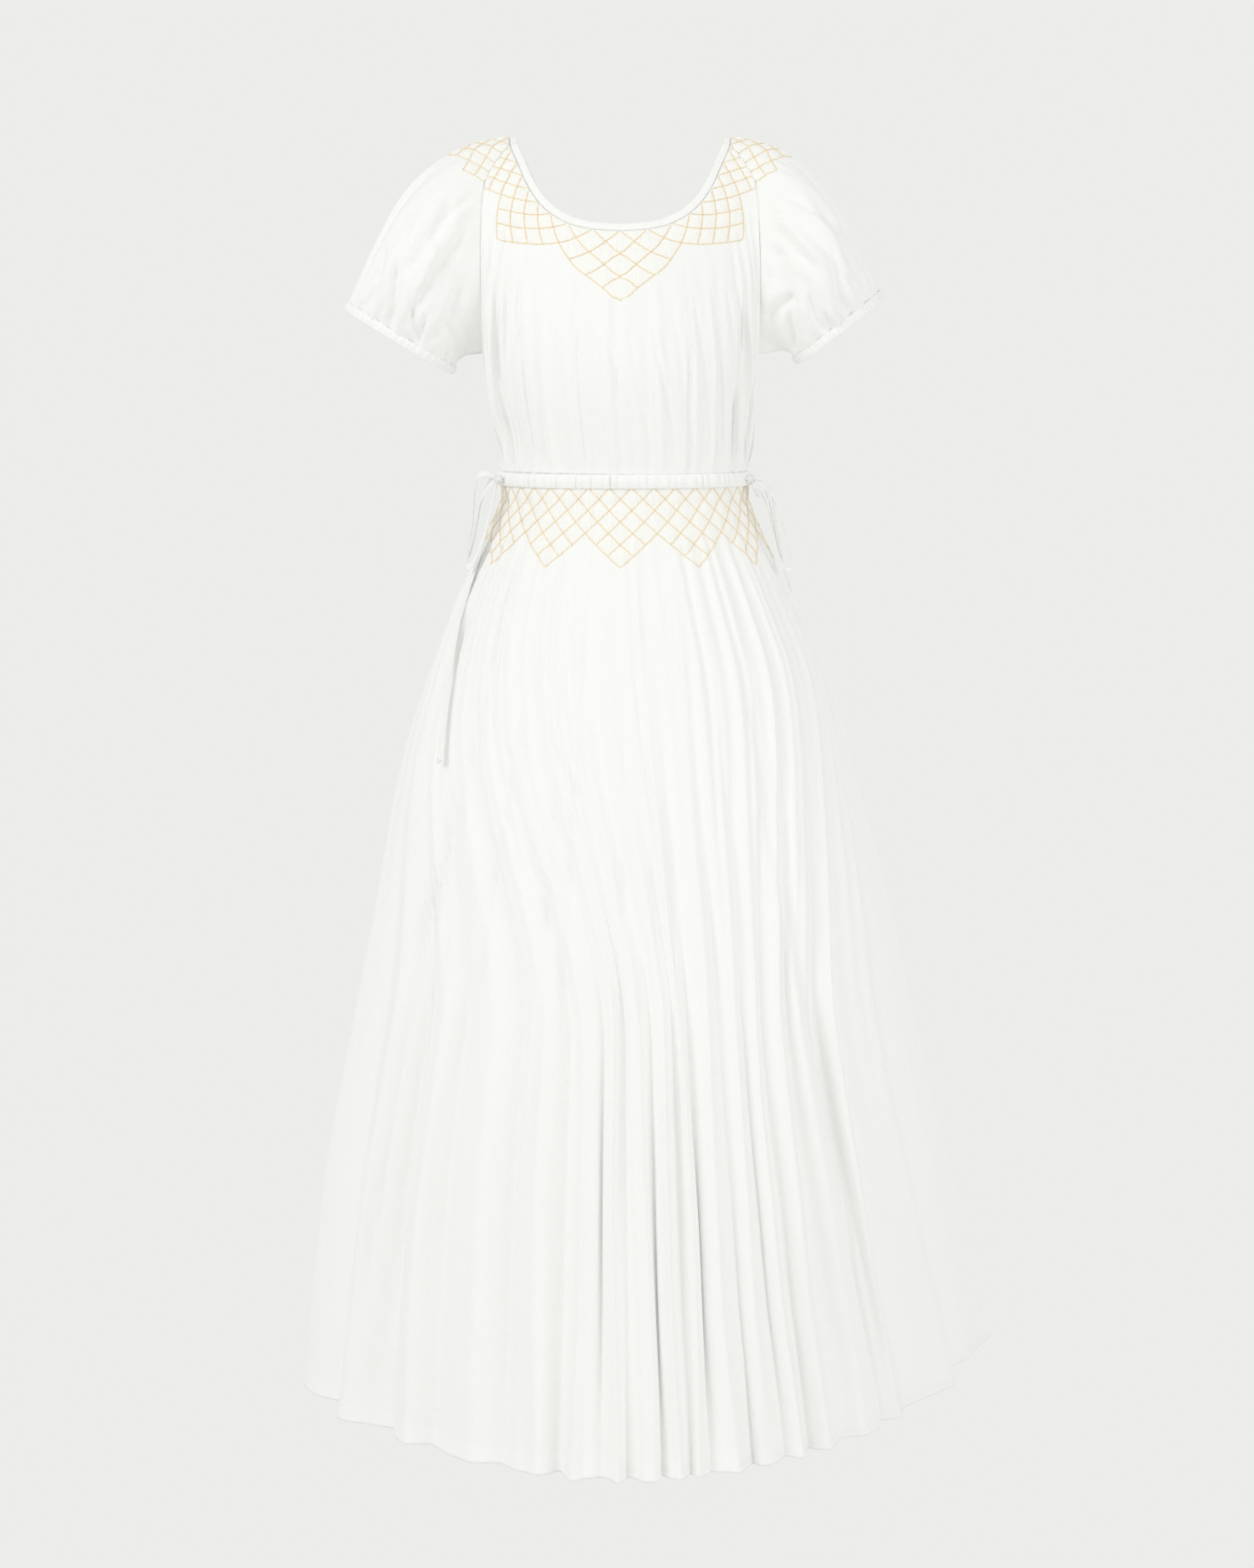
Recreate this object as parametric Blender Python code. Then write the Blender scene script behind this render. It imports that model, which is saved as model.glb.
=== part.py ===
"""A peasant dress in white cotton voile, standing open as if worn by nobody.

Metres, +Z up. The front faces -Y, and +X is the side that shows on the right. The origin
lies between the two shoulder points, level with them, where a wearer's shoulders carry it.
Each cut piece is a wall of its own, lofted through rows and columns of points.
"""

from math import cos, pi, radians, sin

import bpy
import numpy as np

WALL = 0.0018  # cloth with its gathers, from outside to inside
SEAM_GAP = 0.0003  # between the edges of two pieces that are sewn together
BINDING_WIDTH = 0.0085
BINDING_WALL = 0.0024
CASING_TOP = -0.3610  # the waist casing, which holds the drawstring
CASING_HEIGHT = 0.0125
CASING_BULGE = 0.0034  # outside the waist seam, where the drawstring fills it
CASING_LIP = 0.0012
CASING_INSIDE = 0.0018
CASING_COLUMNS = 56
CASING_RIB = 0.0005
HEM_LEVEL = -1.390
HEM_TURN = 0.006  # the turned hem, which is thicker than the cloth above it
HEM_RAISE = 0.0007
CUFF_HEIGHT = 0.0095
CUFF_WALL = 0.0022
CUFF_COLUMNS = 40
CUFF_RIB = 0.0006
SMOCK_RAISE = 0.0016  # how far a smocked diamond puffs out
TIE_WIDTH = 0.008
TIE_WALL = 0.0014
TIE_NARROW = 0.4  # the share of its width that a tie keeps where it enters the knot
TIE_TAPER = 0.02
KNOT_RADIUS = 0.005
KNOT_ANGLE = 70.7  # degrees round the waist from the middle front, on a rib of the casing

# Half of the neck seam, under the binding, from the middle front to the shoulder point.
NECK = dict(
    across=[0.0, 0.0271, 0.0466, 0.0671, 0.0841, 0.0987, 0.1100, 0.1185, 0.1200],
    front=[0.088, 0.087, 0.083, 0.077, 0.068, 0.055, 0.035, 0.016, 0.0],
    back=[0.083, 0.082, 0.079, 0.074, 0.066, 0.053, 0.034, 0.016, 0.0],
    level=[-0.1034, -0.1017, -0.098, -0.0891, -0.0757, -0.055, -0.0300, -0.0100, -0.001],
)
NECK_CORNER = 7  # the row of NECK where a bodice panel ends and the sleeve begins

# The bodice's side edge: the armhole seam down to the underarm, then the side seam. Lean
# is how far the middle of the waist stands to the right.
SIDE = dict(
    level=[-0.0100, -0.0280, -0.0437, -0.075, -0.105, -0.141, -0.185, -0.2164, -0.230,
           -0.2844, -0.3208, -0.345, CASING_TOP],
    across=[0.1185, 0.1316, 0.1438, 0.148, 0.149, 0.1492, 0.149, 0.1492, 0.1498,
            0.1440, 0.1392, 0.1358, 0.1353],
    edge=[0.016, 0.030, 0.040, 0.052, 0.055, 0.055, 0.045, 0.025, 0.0,
          0.0, 0.0, 0.0, 0.0],
    lean=[0.0, 0.0, 0.0, 0.0, 0.0, 0.0, 0.0, 0.0, 0.0,
          0.0015, 0.0040, 0.0050, 0.0050],
)

# How far the cloth stands forward and back at the middle of the bodice.
BODY = dict(
    level=[0.0, -0.03, -0.06, -0.1034, -0.15, -0.20, -0.245, -0.29, -0.33, CASING_TOP],
    front=[0.030, 0.055, 0.072, 0.088, 0.107, 0.121, 0.126, 0.118, 0.106, 0.096],
    back=[0.030, 0.052, 0.068, 0.083, 0.097, 0.104, 0.102, 0.096, 0.092, 0.090],
)
BODY_ROUND = 2.2  # 2 is an ellipse, and more is squarer
UNDERARM_LEVEL = -0.230

# The bodice's grid rows: their level on the side edge, and their drop below the neck seam
# on the middle column and on the columns over the bust.
ROWS = dict(
    side=[-0.0100, -0.025, -0.040, -0.058, -0.080, -0.105, -0.132, -0.160, -0.188, -0.212,
          UNDERARM_LEVEL, -0.256, -0.283, -0.310, -0.336, CASING_TOP],
    bust=[0.0, 0.035, 0.070, 0.105, 0.140, 0.175, 0.210, 0.250, 0.315, 0.390,
          0.480, 0.580, 0.680, 0.785, 0.890, 1.0],
    middle=[0.0, 0.048, 0.097, 0.145, 0.193, 0.242, 0.290, 0.342, 0.401, 0.465,
            0.539, 0.625, 0.714, 0.807, 0.903, 1.0],
)
UNDERARM_ROW = 10
BUST_COLUMN = 0.7  # the place of the bust columns, from 0 in the middle to 1 at the side
SMOCKS_ACROSS = 10  # smocked diamonds across a bodice panel
COLUMNS_A_SMOCK = 4
NECK_SPREAD = 0.15  # how much wider the middle diamonds are than the mean
FAN_LENGTH = 0.05  # the drop in which the gathers turn from the neck to straight down

# How many grid rows deep the neck smocking is, from the middle to the side.
NECK_SMOCK = dict(place=[0.0, 0.1, 0.2, 0.3, 0.45, 0.6, 0.78, 0.84, 0.9, 1.0],
                  rows=[5.4, 3.6, 2.4, 2.2, 3.2, 4.6, 6.2, 5.0, 2.0, 0.0])

# The skirt's outline, between its ridges and valleys. Behind is how far back the right
# side stands.
SKIRT = dict(
    level=[-0.391, -0.44, -0.50, -0.575, -0.65, -0.72, -0.794, -0.868, -0.943, -1.04,
           -1.1355, -1.2246, -1.30, HEM_LEVEL],
    left=[0.1303, 0.152, 0.180, 0.2080, 0.233, 0.2500, 0.2630, 0.2760, 0.2905, 0.3095,
          0.3275, 0.3385, 0.3480, 0.3575],
    right=[0.1403, 0.161, 0.190, 0.2270, 0.249, 0.2665, 0.2870, 0.3050, 0.3210, 0.3430,
           0.3680, 0.3890, 0.4115, 0.4340],
    front=[0.096, 0.110, 0.134, 0.158, 0.182, 0.204, 0.224, 0.243, 0.261, 0.280,
           0.296, 0.310, 0.322, 0.334],
    back=[0.091, 0.110, 0.135, 0.159, 0.182, 0.203, 0.222, 0.240, 0.257, 0.275,
          0.291, 0.305, 0.316, 0.327],
    behind=[0.0, 0.0, 0.0, 0.0, 0.0, 0.0, 0.0, 0.005, 0.015, 0.035,
            0.065, 0.110, 0.160, 0.200],
)
HEM_ROUND_LEFT = 1.6  # under 2, the hem's outline is drawn out to the side
HEM_ROUND_RIGHT = 2.0
SMOCK_ROWS = 7
SMOCK_ROW = 0.012
SKIRT_TOP = CASING_TOP - CASING_HEIGHT - 2 * SEAM_GAP
SKIRT_LOWER = [-0.51, -0.59, -0.70, -0.84, -1.0, -1.18, HEM_LEVEL + HEM_TURN, HEM_LEVEL]
SKIRT_INNER_ROWS = [0, 1, 2, 3, 6] + list(range(8, 8 + len(SKIRT_LOWER)))
COLUMNS_A_FOLD = 3
POINTS_A_PANEL = 6  # low points of the smocking's zigzag edge on each skirt panel
HIP_HIGH_ROWS = 3.6
HIP_LOW_ROWS = 7.0

# The skirt's folds at the hem: the angle of the valley before each one, and its depth.
FRONT_FOLDS = dict(
    angle=[-90, -64, -46, -35.5, -21, -10.7, -3.4, 1, 5.9, 10, 12.9, 19.2, 24, 28.2, 33.8,
           41.6, 47.1, 64.4],
    valley=[0.010, 0.024, 0.025, 0.016, 0.018, 0.024, 0.018, 0.012, 0.020, 0.012, 0.020,
            0.014, 0.014, 0.016, 0.018, 0.020, 0.018, 0.024],
)
BACK_FOLDS = dict(
    angle=[90, 108, 121, 131, 145, 152, 160, 168, 173, 181, 188, 193, 200, 209, 216, 226,
           238, 252],
    valley=[0.010, 0.022, 0.018, 0.024, 0.015, 0.014, 0.020, 0.013, 0.018, 0.014, 0.021,
            0.013, 0.016, 0.020, 0.014, 0.022, 0.018, 0.024],
)
RIDGE_SHARE = 0.35  # of a valley's depth, how far the ridges beside it stand out
FOLD_START = -0.47
FOLD_FULL = -1.20
GATHER = 0.0024  # the fine gathers that run out of the smocking

# Each cuff, seen edge on: its outer and inner ends, and its depth from front to back.
CUFFS = {
    "left": dict(outer=(-0.2956, -0.1781), inner=(-0.1804, -0.2477), depth=0.105),
    "right": dict(outer=(0.2830, -0.1651), inner=(0.1898, -0.2373), depth=0.105),
}
SLEEVE_ROWS = [0.0, 0.045, 0.09, 0.135, 0.18, 0.23, 0.30, 0.40, 0.52, 0.65, 0.78, 0.89,
               0.95, 1.0]
SLEEVE_INNER_ROWS = [0, 3, 6, 7, 8, 9, 10, 11, 12, 13]
NECK_COLUMNS = 6  # grid columns where a sleeve reaches the neck
SLEEVE_OUT = 1.4  # how hard the sleeve leaves the armhole outwards, in its own lengths
SLEEVE_PUFF = 0.85  # the same, forwards and back
CUFF_PULL = 0.85  # how hard it comes back to the cuff
SLEEVE_GATHER = 0.0026
SLEEVE_SMOCK_ROWS = 5

# The ties' routes in millimetres. A loop leaves the knot and comes back to it.
TIES = {
    "tie_loop_left": [
        (-138.5, -37, -371.5), (-143.8, -34, -376.5), (-150, -32, -387.5), (-154.5, -32, -399.5),
        (-160, -33, -422), (-164.5, -36, -444.5), (-167, -41, -457), (-165.5, -48, -461.5),
        (-160, -52.5, -458), (-152, -55, -440.5), (-144.5, -55, -418), (-139, -53.5, -394.5),
        (-136, -50.5, -382.5), (-135, -45, -372.5)],
    "tie_loop_back_left": [
        (-139, -33, -363.5), (-147, -24, -361.5), (-155, -15, -365.5), (-158.5, -10, -376.5),
        (-160, -9, -390.5), (-161.5, -9, -414), (-166, -8, -439), (-168, -3, -451),
        (-167, 4, -453.5), (-163, 8, -443), (-158, 9, -419.5), (-152.5, 6, -393.5),
        (-146.5, -2, -377.5), (-141.5, -12, -369.5), (-138.5, -24, -367.5)],
    "tie_tail_left": [
        (-134.5, -40, -375.5), (-137, -41, -387.5), (-142.5, -42, -410), (-149, -43.5, -438),
        (-157.5, -47.5, -466), (-165, -57, -490), (-173, -68, -517), (-179, -80, -548),
        (-183.5, -92, -579), (-188, -106, -614), (-192, -121, -649), (-194, -127, -664)],
    "tie_loop_right": [
        (147, -38, -370.5), (153, -37, -373.5), (162, -34, -381.5), (171.5, -32, -397),
        (179, -32, -422), (185, -34, -446), (187.5, -37.5, -459.5), (185, -43, -466.5),
        (179, -46.5, -464), (172, -48, -451), (166, -48, -430), (160.5, -48, -407.5),
        (154, -48, -389.5), (146.5, -47.5, -378.5)],
    "tie_loop_back_right": [
        (147, -33, -365.5), (155, -23, -366.5), (163, -15, -375.5), (167, -11, -390.5),
        (170.5, -10, -414), (175, -10, -439), (178, -6, -455), (177.5, 2, -457),
        (174, 7, -444.5), (169, 9, -418), (163.5, 7, -392.5), (157.5, 0, -377.5),
        (151, -11, -370.5), (146, -22, -369.5)],
    "tie_tail_right": [
        (143.5, -34, -374.5), (147.5, -26, -381.5), (155, -4, -387.5), (163, 17, -403.5),
        (172, 32, -436.5), (184, 46, -475), (197, 66, -520), (206, 86, -566),
        (214, 106, -615), (219, 120, -655)],
}
TIE_STEP = 0.011


def smooth(table, column, at, by="level"):
    """A column of a table at a place along another one, on a curve through its rows that
    turns back only where the rows do."""
    places = np.array(table[by], float)
    values = np.array(table[column], float)
    if places[0] > places[-1]:
        places, values = places[::-1], values[::-1]
    steps = np.diff(values) / np.diff(places)
    before, after = steps[:-1], steps[1:]
    level_out = before * after <= 0
    mean = 2 * before * after / np.where(level_out, 1, before + after)
    slopes = np.concatenate([steps[:1], np.where(level_out, 0, mean), steps[-1:]])
    at = np.clip(at, places[0], places[-1])
    row = np.clip(np.searchsorted(places, at, side="right") - 1, 0, len(places) - 2)
    wide = places[row + 1] - places[row]
    t = (at - places[row]) / wide
    return ((2 * t**3 - 3 * t**2 + 1) * values[row]
            + (t**3 - 2 * t**2 + t) * wide * slopes[row]
            + (3 * t**2 - 2 * t**3) * values[row + 1]
            + (t**3 - t**2) * wide * slopes[row + 1])


def ease(at, start, end):
    """0 before start and 1 after end, with a soft turn at each."""
    t = np.clip((at - start) / (end - start), 0, 1)
    return t * t * (3 - 2 * t)


def uneven(number, low, high):
    """A fixed, uneven value between low and high for each whole number."""
    return low + (high - low) * (0.5 + 0.5 * sin(number * 12.9898 + sin(number * 4.1)))


def unit(vectors):
    return vectors / np.maximum(np.linalg.norm(vectors, axis=-1, keepdims=True), 1e-12)


def smocking(across, down):
    """Height of a smocked cell from 0 on the threads to 1 in the diamond's middle."""
    return abs(sin(pi * (across + down)) * sin(pi * (across - down)))


def neck_point(place, side):
    """A point of the neck seam. place runs from -1 to 1, one sleeve corner to the other."""
    rows = np.arange(NECK_CORNER + 1)
    lengths = np.hypot(np.diff([NECK["across"][r] for r in rows]),
                       np.diff([NECK["level"][r] for r in rows]))
    along = np.concatenate([[0], np.cumsum(lengths)])
    row = np.interp(abs(place) * along[-1], along, rows)
    numbered = dict(NECK, row=list(range(len(NECK["level"]))))
    across, depth, level = (smooth(numbered, name, row, "row")
                            for name in ("across", side, "level"))
    return np.array([np.sign(place) * across, (-1 if side == "front" else 1) * depth, level])


def body_depth(share, level, side):
    """How far the cloth stands from the side plane, at a share of the half width."""
    edge = smooth(SIDE, "edge", level)
    full = smooth(BODY, side, level)
    power = 1 + (1 / BODY_ROUND - 1) * ease(-level, 0.15, -UNDERARM_LEVEL)
    return edge + (full - edge) * max(1 - abs(share) ** BODY_ROUND, 0) ** power


def bodice_grid(side):
    """Rows from the neck down, columns from side to side. The back runs the other way."""
    columns = SMOCKS_ACROSS * COLUMNS_A_SMOCK
    grid = np.zeros((len(ROWS["side"]), columns + 1, 3))
    turn = 1 if side == "front" else -1
    for column in range(columns + 1):
        even = 2 * column / columns - 1
        place = even * (1 + NECK_SPREAD) - NECK_SPREAD * even * abs(even)
        top = neck_point(place, side)
        drop = top[2] - CASING_TOP
        top_share = top[0] / smooth(SIDE, "across", top[2])
        low_share = sin(pi / 2 * place)
        for row in range(len(grid)):
            bust = np.interp(abs(place), [0, BUST_COLUMN, 1], [0, 1, 1])
            bust = bust * bust * (3 - 2 * bust)
            step = ROWS["middle"][row] + (ROWS["bust"][row] - ROWS["middle"][row]) * bust
            at_side = (ROWS["side"][0] - ROWS["side"][row]) / (ROWS["side"][0] - CASING_TOP)
            step += (at_side - step) * ease(abs(place), BUST_COLUMN, 1)
            level = top[2] - drop * step
            fan = (1 - np.exp(-drop * step / FAN_LENGTH)) / (1 - np.exp(-drop / FAN_LENGTH))
            share = top_share + (low_share - top_share) * fan
            across = share * smooth(SIDE, "across", level)
            start = abs(top[1]) - body_depth(top_share, top[2], side)
            depth = body_depth(share, level, side)
            depth += start * np.exp(-drop * step / FAN_LENGTH) * (1 - step)
            grid[row, column] = across * turn, -turn * depth, level
            # The gathers die out at the side edges, where the next piece is sewn on.
            flat = ease(1 - abs(place), 0, 0.06) * ease(step, 0.1, 0.35)
            height = GATHER * uneven(column // 2, 0.45, 1.0) * (1 if column % 2 else -1)
            grid[row, column, :2] *= 1 + flat * height / np.hypot(across, depth)
            grid[row, column, 0] += smooth(SIDE, "lean", level)
    return grid


def bodice_relief(grid):
    """The neck smocking's height at each point of a bodice grid."""
    relief = np.zeros(grid.shape[:2])
    columns = grid.shape[1] - 1
    for column in range(columns + 1):
        place = abs(2 * column / columns - 1)
        depth = np.interp(place, NECK_SMOCK["place"], NECK_SMOCK["rows"])
        for row in range(1, grid.shape[0]):
            if row <= depth:
                across = (column - columns / 2) / COLUMNS_A_SMOCK
                relief[row, column] = SMOCK_RAISE * smocking(across, row / 2)
    return relief


def sleeve_grid(name, front, back):
    """Rows from the armhole to the cuff, columns round from the underarm over the front."""
    sign = -1 if name == "left" else 1
    first = 0 if name == "left" else -1
    front_edge = front[: UNDERARM_ROW + 1, first][::-1]
    back_edge = back[: UNDERARM_ROW + 1, -1 - first]
    numbered = dict(NECK, row=list(range(len(NECK["level"]))))
    over = []
    for step in np.linspace(NECK_CORNER, NECK_CORNER + 2, NECK_COLUMNS + 1)[1:-1]:
        row = min(step, 2 * (NECK_CORNER + 1) - step)
        side = "front" if step < NECK_CORNER + 1 else "back"
        turn = -1 if side == "front" else 1
        over.append([sign * smooth(numbered, "across", row, "row"),
                     turn * smooth(numbered, side, row, "row"),
                     smooth(numbered, "level", row, "row")])
    loop = np.concatenate([front_edge, over, back_edge[:-1]])
    outer, inner = (np.array([x, 0, z]) for x, z in (CUFFS[name]["outer"],
                                                     CUFFS[name]["inner"]))
    middle = (outer + inner) / 2
    axis = np.cross(unit(outer - inner), [0, 1, 0]) * -sign
    lengths = np.linalg.norm(np.diff(np.concatenate([loop, loop[:1]]), axis=0), axis=1)
    share = np.concatenate([[0], np.cumsum(lengths)[:-1]]) / lengths.sum()
    grid = np.zeros((len(SLEEVE_ROWS), len(loop), 3))
    for column, point in enumerate(loop):
        angle = 2 * pi * share[column]
        end = middle - (outer - inner) / 2 * cos(angle)
        end = end - np.array([0, CUFFS[name]["depth"] / 2 * sin(angle), 0])
        length = np.linalg.norm(end - point)
        leave = np.array([sign * SLEEVE_OUT, -SLEEVE_PUFF * sin(angle), -0.08]) * length
        arrive = (axis + np.array([0, SLEEVE_PUFF * sin(angle), 0])) * CUFF_PULL * length
        for row, t in enumerate(SLEEVE_ROWS):
            grid[row, column] = ((2 * t**3 - 3 * t**2 + 1) * point
                                 + (t**3 - 2 * t**2 + t) * leave
                                 + (3 * t**2 - 2 * t**3) * end
                                 + (t**3 - t**2) * arrive)
    if name == "left":
        grid = np.roll(grid[:, ::-1], 1, axis=1)
    return grid, axis, middle


def sleeve_gathers(grid):
    """Outward shift of each point of a sleeve grid, for the folds from seam to cuff."""
    shift = np.zeros(grid.shape[:2])
    for column in range(grid.shape[1]):
        way = 1 if column % 2 else -1
        for row, t in enumerate(SLEEVE_ROWS):
            swell = ease(t, 0.15, 0.5) * uneven(column + 3 * (t > 0.6), 0.5, 1.0)
            shift[row, column] = SLEEVE_GATHER * way * swell
    return shift


def sleeve_relief(grid):
    """The sleeve head's smocking, which fans out from the neck."""
    relief = np.zeros(grid.shape[:2])
    top = UNDERARM_ROW + NECK_COLUMNS // 2
    for row in range(1, SLEEVE_SMOCK_ROWS + 1):
        for column in range(top - 4, top + 5):
            if (row + column) % 2:
                relief[row, column] = SMOCK_RAISE
    return relief


def skirt_section(level, angle):
    """A point of the skirt's outline, and the way out of it, at an angle from the front."""
    across = smooth(SKIRT, "right" if sin(angle) > 0 else "left", level)
    deep = smooth(SKIRT, "front" if cos(angle) > 0 else "back", level)
    hem_round = HEM_ROUND_RIGHT if sin(angle) > 0 else HEM_ROUND_LEFT
    power = BODY_ROUND + (hem_round - BODY_ROUND) * ease(-level, -SKIRT_TOP, -HEM_LEVEL)
    forward = max(1 - abs(sin(angle)) ** power, 0) ** (1 / power) * np.sign(cos(angle))
    behind = smooth(SKIRT, "behind", level) * max(sin(angle), 0) ** 2
    point = np.array([across * sin(angle), behind - deep * forward, level])
    return point, unit(np.array([sin(angle) / across, -cos(angle) / deep, 0]))


def fold_angles(folds, after):
    """The hem angle of each grid column, a valley and two ridges for each fold."""
    edges = folds["angle"] + [after]
    return [radians(low + (high - low) * place)
            for low, high in zip(edges, edges[1:]) for place in (0.0, 0.36, 0.64)]


def skirt_grid():
    """The whole skirt as one closed band of rows, front panel first, and its smocking."""
    levels = [SKIRT_TOP - SMOCK_ROW * row for row in range(SMOCK_ROWS + 1)] + SKIRT_LOWER
    hem = fold_angles(FRONT_FOLDS, 90) + fold_angles(BACK_FOLDS, 270)
    valleys = FRONT_FOLDS["valley"] + BACK_FOLDS["valley"]
    half = len(hem) // 2
    grid = np.zeros((len(levels), len(hem), 3))
    relief = np.zeros(grid.shape[:2])
    for column, hem_angle in enumerate(hem):
        even = pi * column / half - pi / 2
        fold, place = divmod(column, COLUMNS_A_FOLD)
        for row, level in enumerate(levels):
            angle = even + (hem_angle - even) * ease(-level, -FOLD_START, 0.95)
            point, out = skirt_section(level, angle)
            grown = ease(-level, -FOLD_START, -FOLD_FULL)
            beside = max(valleys[fold], valleys[(fold + 1) % len(valleys)])
            shift = RIDGE_SHARE * beside if place else -valleys[fold]
            way = 1 if column % 2 else -1
            gather = GATHER * way * uneven(column // 2, 0.4, 1.0)
            gather *= ease(-level, -SKIRT_TOP + 0.03, 0.47) * (1 - ease(-level, 0.55, 0.95))
            grid[row, column] = point + out * (shift * grown + gather)
            zigzag = abs((column * POINTS_A_PANEL / half + 0.5) % 1 - 0.5) * 2
            deep = HIP_LOW_ROWS + (HIP_HIGH_ROWS - HIP_LOW_ROWS) * zigzag
            if 0 < row <= min(deep, SMOCK_ROWS):
                across = column / COLUMNS_A_FOLD
                relief[row, column] = SMOCK_RAISE * smocking(across, row / 2)
    return grid, relief, half


def sewn_normals(grids, closed):
    """Each grid's outward normals, shared where pieces meet, and how far the wall has to
    reach along them to keep its thickness on a fold's flanks."""
    points = np.concatenate([grid.reshape(-1, 3) for grid in grids.values()])
    _, index = np.unique(np.round(points, 6), axis=0, return_inverse=True)
    index = index.reshape(-1)
    total = np.zeros((index.max() + 1, 3))
    corners = []
    start = 0
    for name, grid in grids.items():
        rows, columns = grid.shape[:2]
        number = index[start: start + rows * columns].reshape(rows, columns)
        start += rows * columns
        if name in closed:
            number = np.concatenate([number, number[:, :1]], axis=1)
            grid = np.concatenate([grid, grid[:, :1]], axis=1)
        across = grid[1:, 1:] - grid[:-1, :-1]
        down = grid[1:, :-1] - grid[:-1, 1:]
        face = unit(np.cross(down, across)).reshape(-1, 3)
        for corner in (number[:-1, :-1], number[:-1, 1:], number[1:, :-1], number[1:, 1:]):
            np.add.at(total, corner.reshape(-1), face)
            corners.append((corner.reshape(-1), face))
    normals = unit(total)
    least = np.ones(len(normals))
    for corner, face in corners:
        np.minimum.at(least, corner, (normals[corner] * face).sum(axis=1))
    reach = 1 / np.clip(least, 0.6, 1)
    found = {}
    start = 0
    for name, grid in grids.items():
        size = grid.shape[0] * grid.shape[1]
        number = index[start: start + size].reshape(grid.shape[:2])
        found[name] = normals[number], reach[number]
        start += size
    return found


def into_panel(grid, rims):
    """The small shift that draws the named edges of a grid back from their seams."""
    shift = np.zeros(grid.shape)
    for rim in rims:
        edge, inside = {"top": ((0,), (1,)), "bottom": ((-1,), (-2,)),
                        "first": ((slice(None), 0), (slice(None), 1)),
                        "last": ((slice(None), -1), (slice(None), -2))}[rim]
        shift[edge] += unit(grid[inside] - grid[edge]) * SEAM_GAP / 2
    return shift


def new_object(name, vertices, faces, material):
    mesh = bpy.data.meshes.new(name)
    mesh.from_pydata([tuple(v) for v in vertices], [], faces)
    mesh.materials.append(material)
    mesh.shade_smooth()
    thing = bpy.data.objects.new(name, mesh)
    collection.objects.link(thing)
    return thing


def rim(vertices, outer_a, outer_b, inner_b, inner_a):
    """Two triangles across a wall's edge. Which way they are split depends on the place
    alone, so that two edges that face each other are split alike."""
    height_a, height_b = (vertices[point] @ (0.11, 0.37, 1.0) for point in (outer_a, outer_b))
    if height_a > height_b:
        return [(outer_a, outer_b, inner_b), (outer_a, inner_b, inner_a)]
    return [(outer_a, outer_b, inner_a), (outer_b, inner_b, inner_a)]


def halves(a, b, c, d, first):
    """The two triangles of a quad, split along its first diagonal or along its other one."""
    return [(a, b, c), (a, c, d)] if first else [(a, b, d), (b, c, d)]


def wall(name, outer, inner, material, inner_rows=None, closed=False):
    """A wall between an outer and an inner grid. The inner one keeps only inner_rows. Both
    are split along the same diagonals, so that they keep apart where the cloth twists."""
    rows, columns = outer.shape[:2]
    kept = inner_rows or list(range(rows))
    vertices = np.concatenate([outer.reshape(-1, 3), inner[kept].reshape(-1, 3)])
    within = {row: rows * columns + place * columns for place, row in enumerate(kept)}
    faces = []
    pairs = [(c, (c + 1) % columns) for c in range(columns if closed else columns - 1)]
    for a, b in pairs:
        for row in range(rows - 1):
            up, low = row * columns, (row + 1) * columns
            shorter = (np.linalg.norm(outer[row, a] - outer[row + 1, b])
                       < np.linalg.norm(outer[row, b] - outer[row + 1, a]))
            faces += halves(up + a, low + a, low + b, up + b, shorter)
        for row, next_row in zip(kept, kept[1:]):
            up, low = within[row], within[next_row]
            shorter = (np.linalg.norm(outer[row, a] - outer[next_row, b])
                       < np.linalg.norm(outer[row, b] - outer[next_row, a]))
            faces += halves(up + b, low + b, low + a, up + a, not shorter)
        last = (rows - 1) * columns
        top, low = within[0], within[rows - 1]
        faces += rim(vertices, a, b, top + b, top + a)
        faces += rim(vertices, last + b, last + a, low + a, low + b)
    end = columns - 1
    for row, next_row in zip(kept, kept[1:]) if not closed else ():
        top, low = within[row], within[next_row]
        if next_row == row + 1:
            faces += rim(vertices, next_row * columns, row * columns, top, low)
            faces += rim(vertices, row * columns + end, next_row * columns + end,
                         low + end, top + end)
        else:
            between = [r * columns for r in range(row, next_row + 1)]
            faces.append(between[::-1] + [top, low])
            faces.append([point + end for point in between] + [low + end, top + end])
    return new_object(name, vertices, faces, material)


def panel(name, grid, normals, material, relief=0, rims=(), planes=(), closed=False,
          inner_rows=None, thickness=WALL):
    """A cloth wall inside the given surface, with its relief raised on the outside. Each of
    planes is a row that stays flat, with a point of its plane and the plane's normal."""
    way, reach = normals
    shift = into_panel(grid, rims)
    relief = np.broadcast_to(relief, grid.shape[:2])
    outer = grid + shift + way * relief[..., None]
    inner = grid + shift - way * (reach * thickness)[..., None]
    for row, point, normal in planes:
        for layer in (outer, inner):
            layer[row] -= ((layer[row] - point) @ normal)[:, None] * normal
    return wall(name, outer, inner, material, inner_rows, closed)


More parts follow.
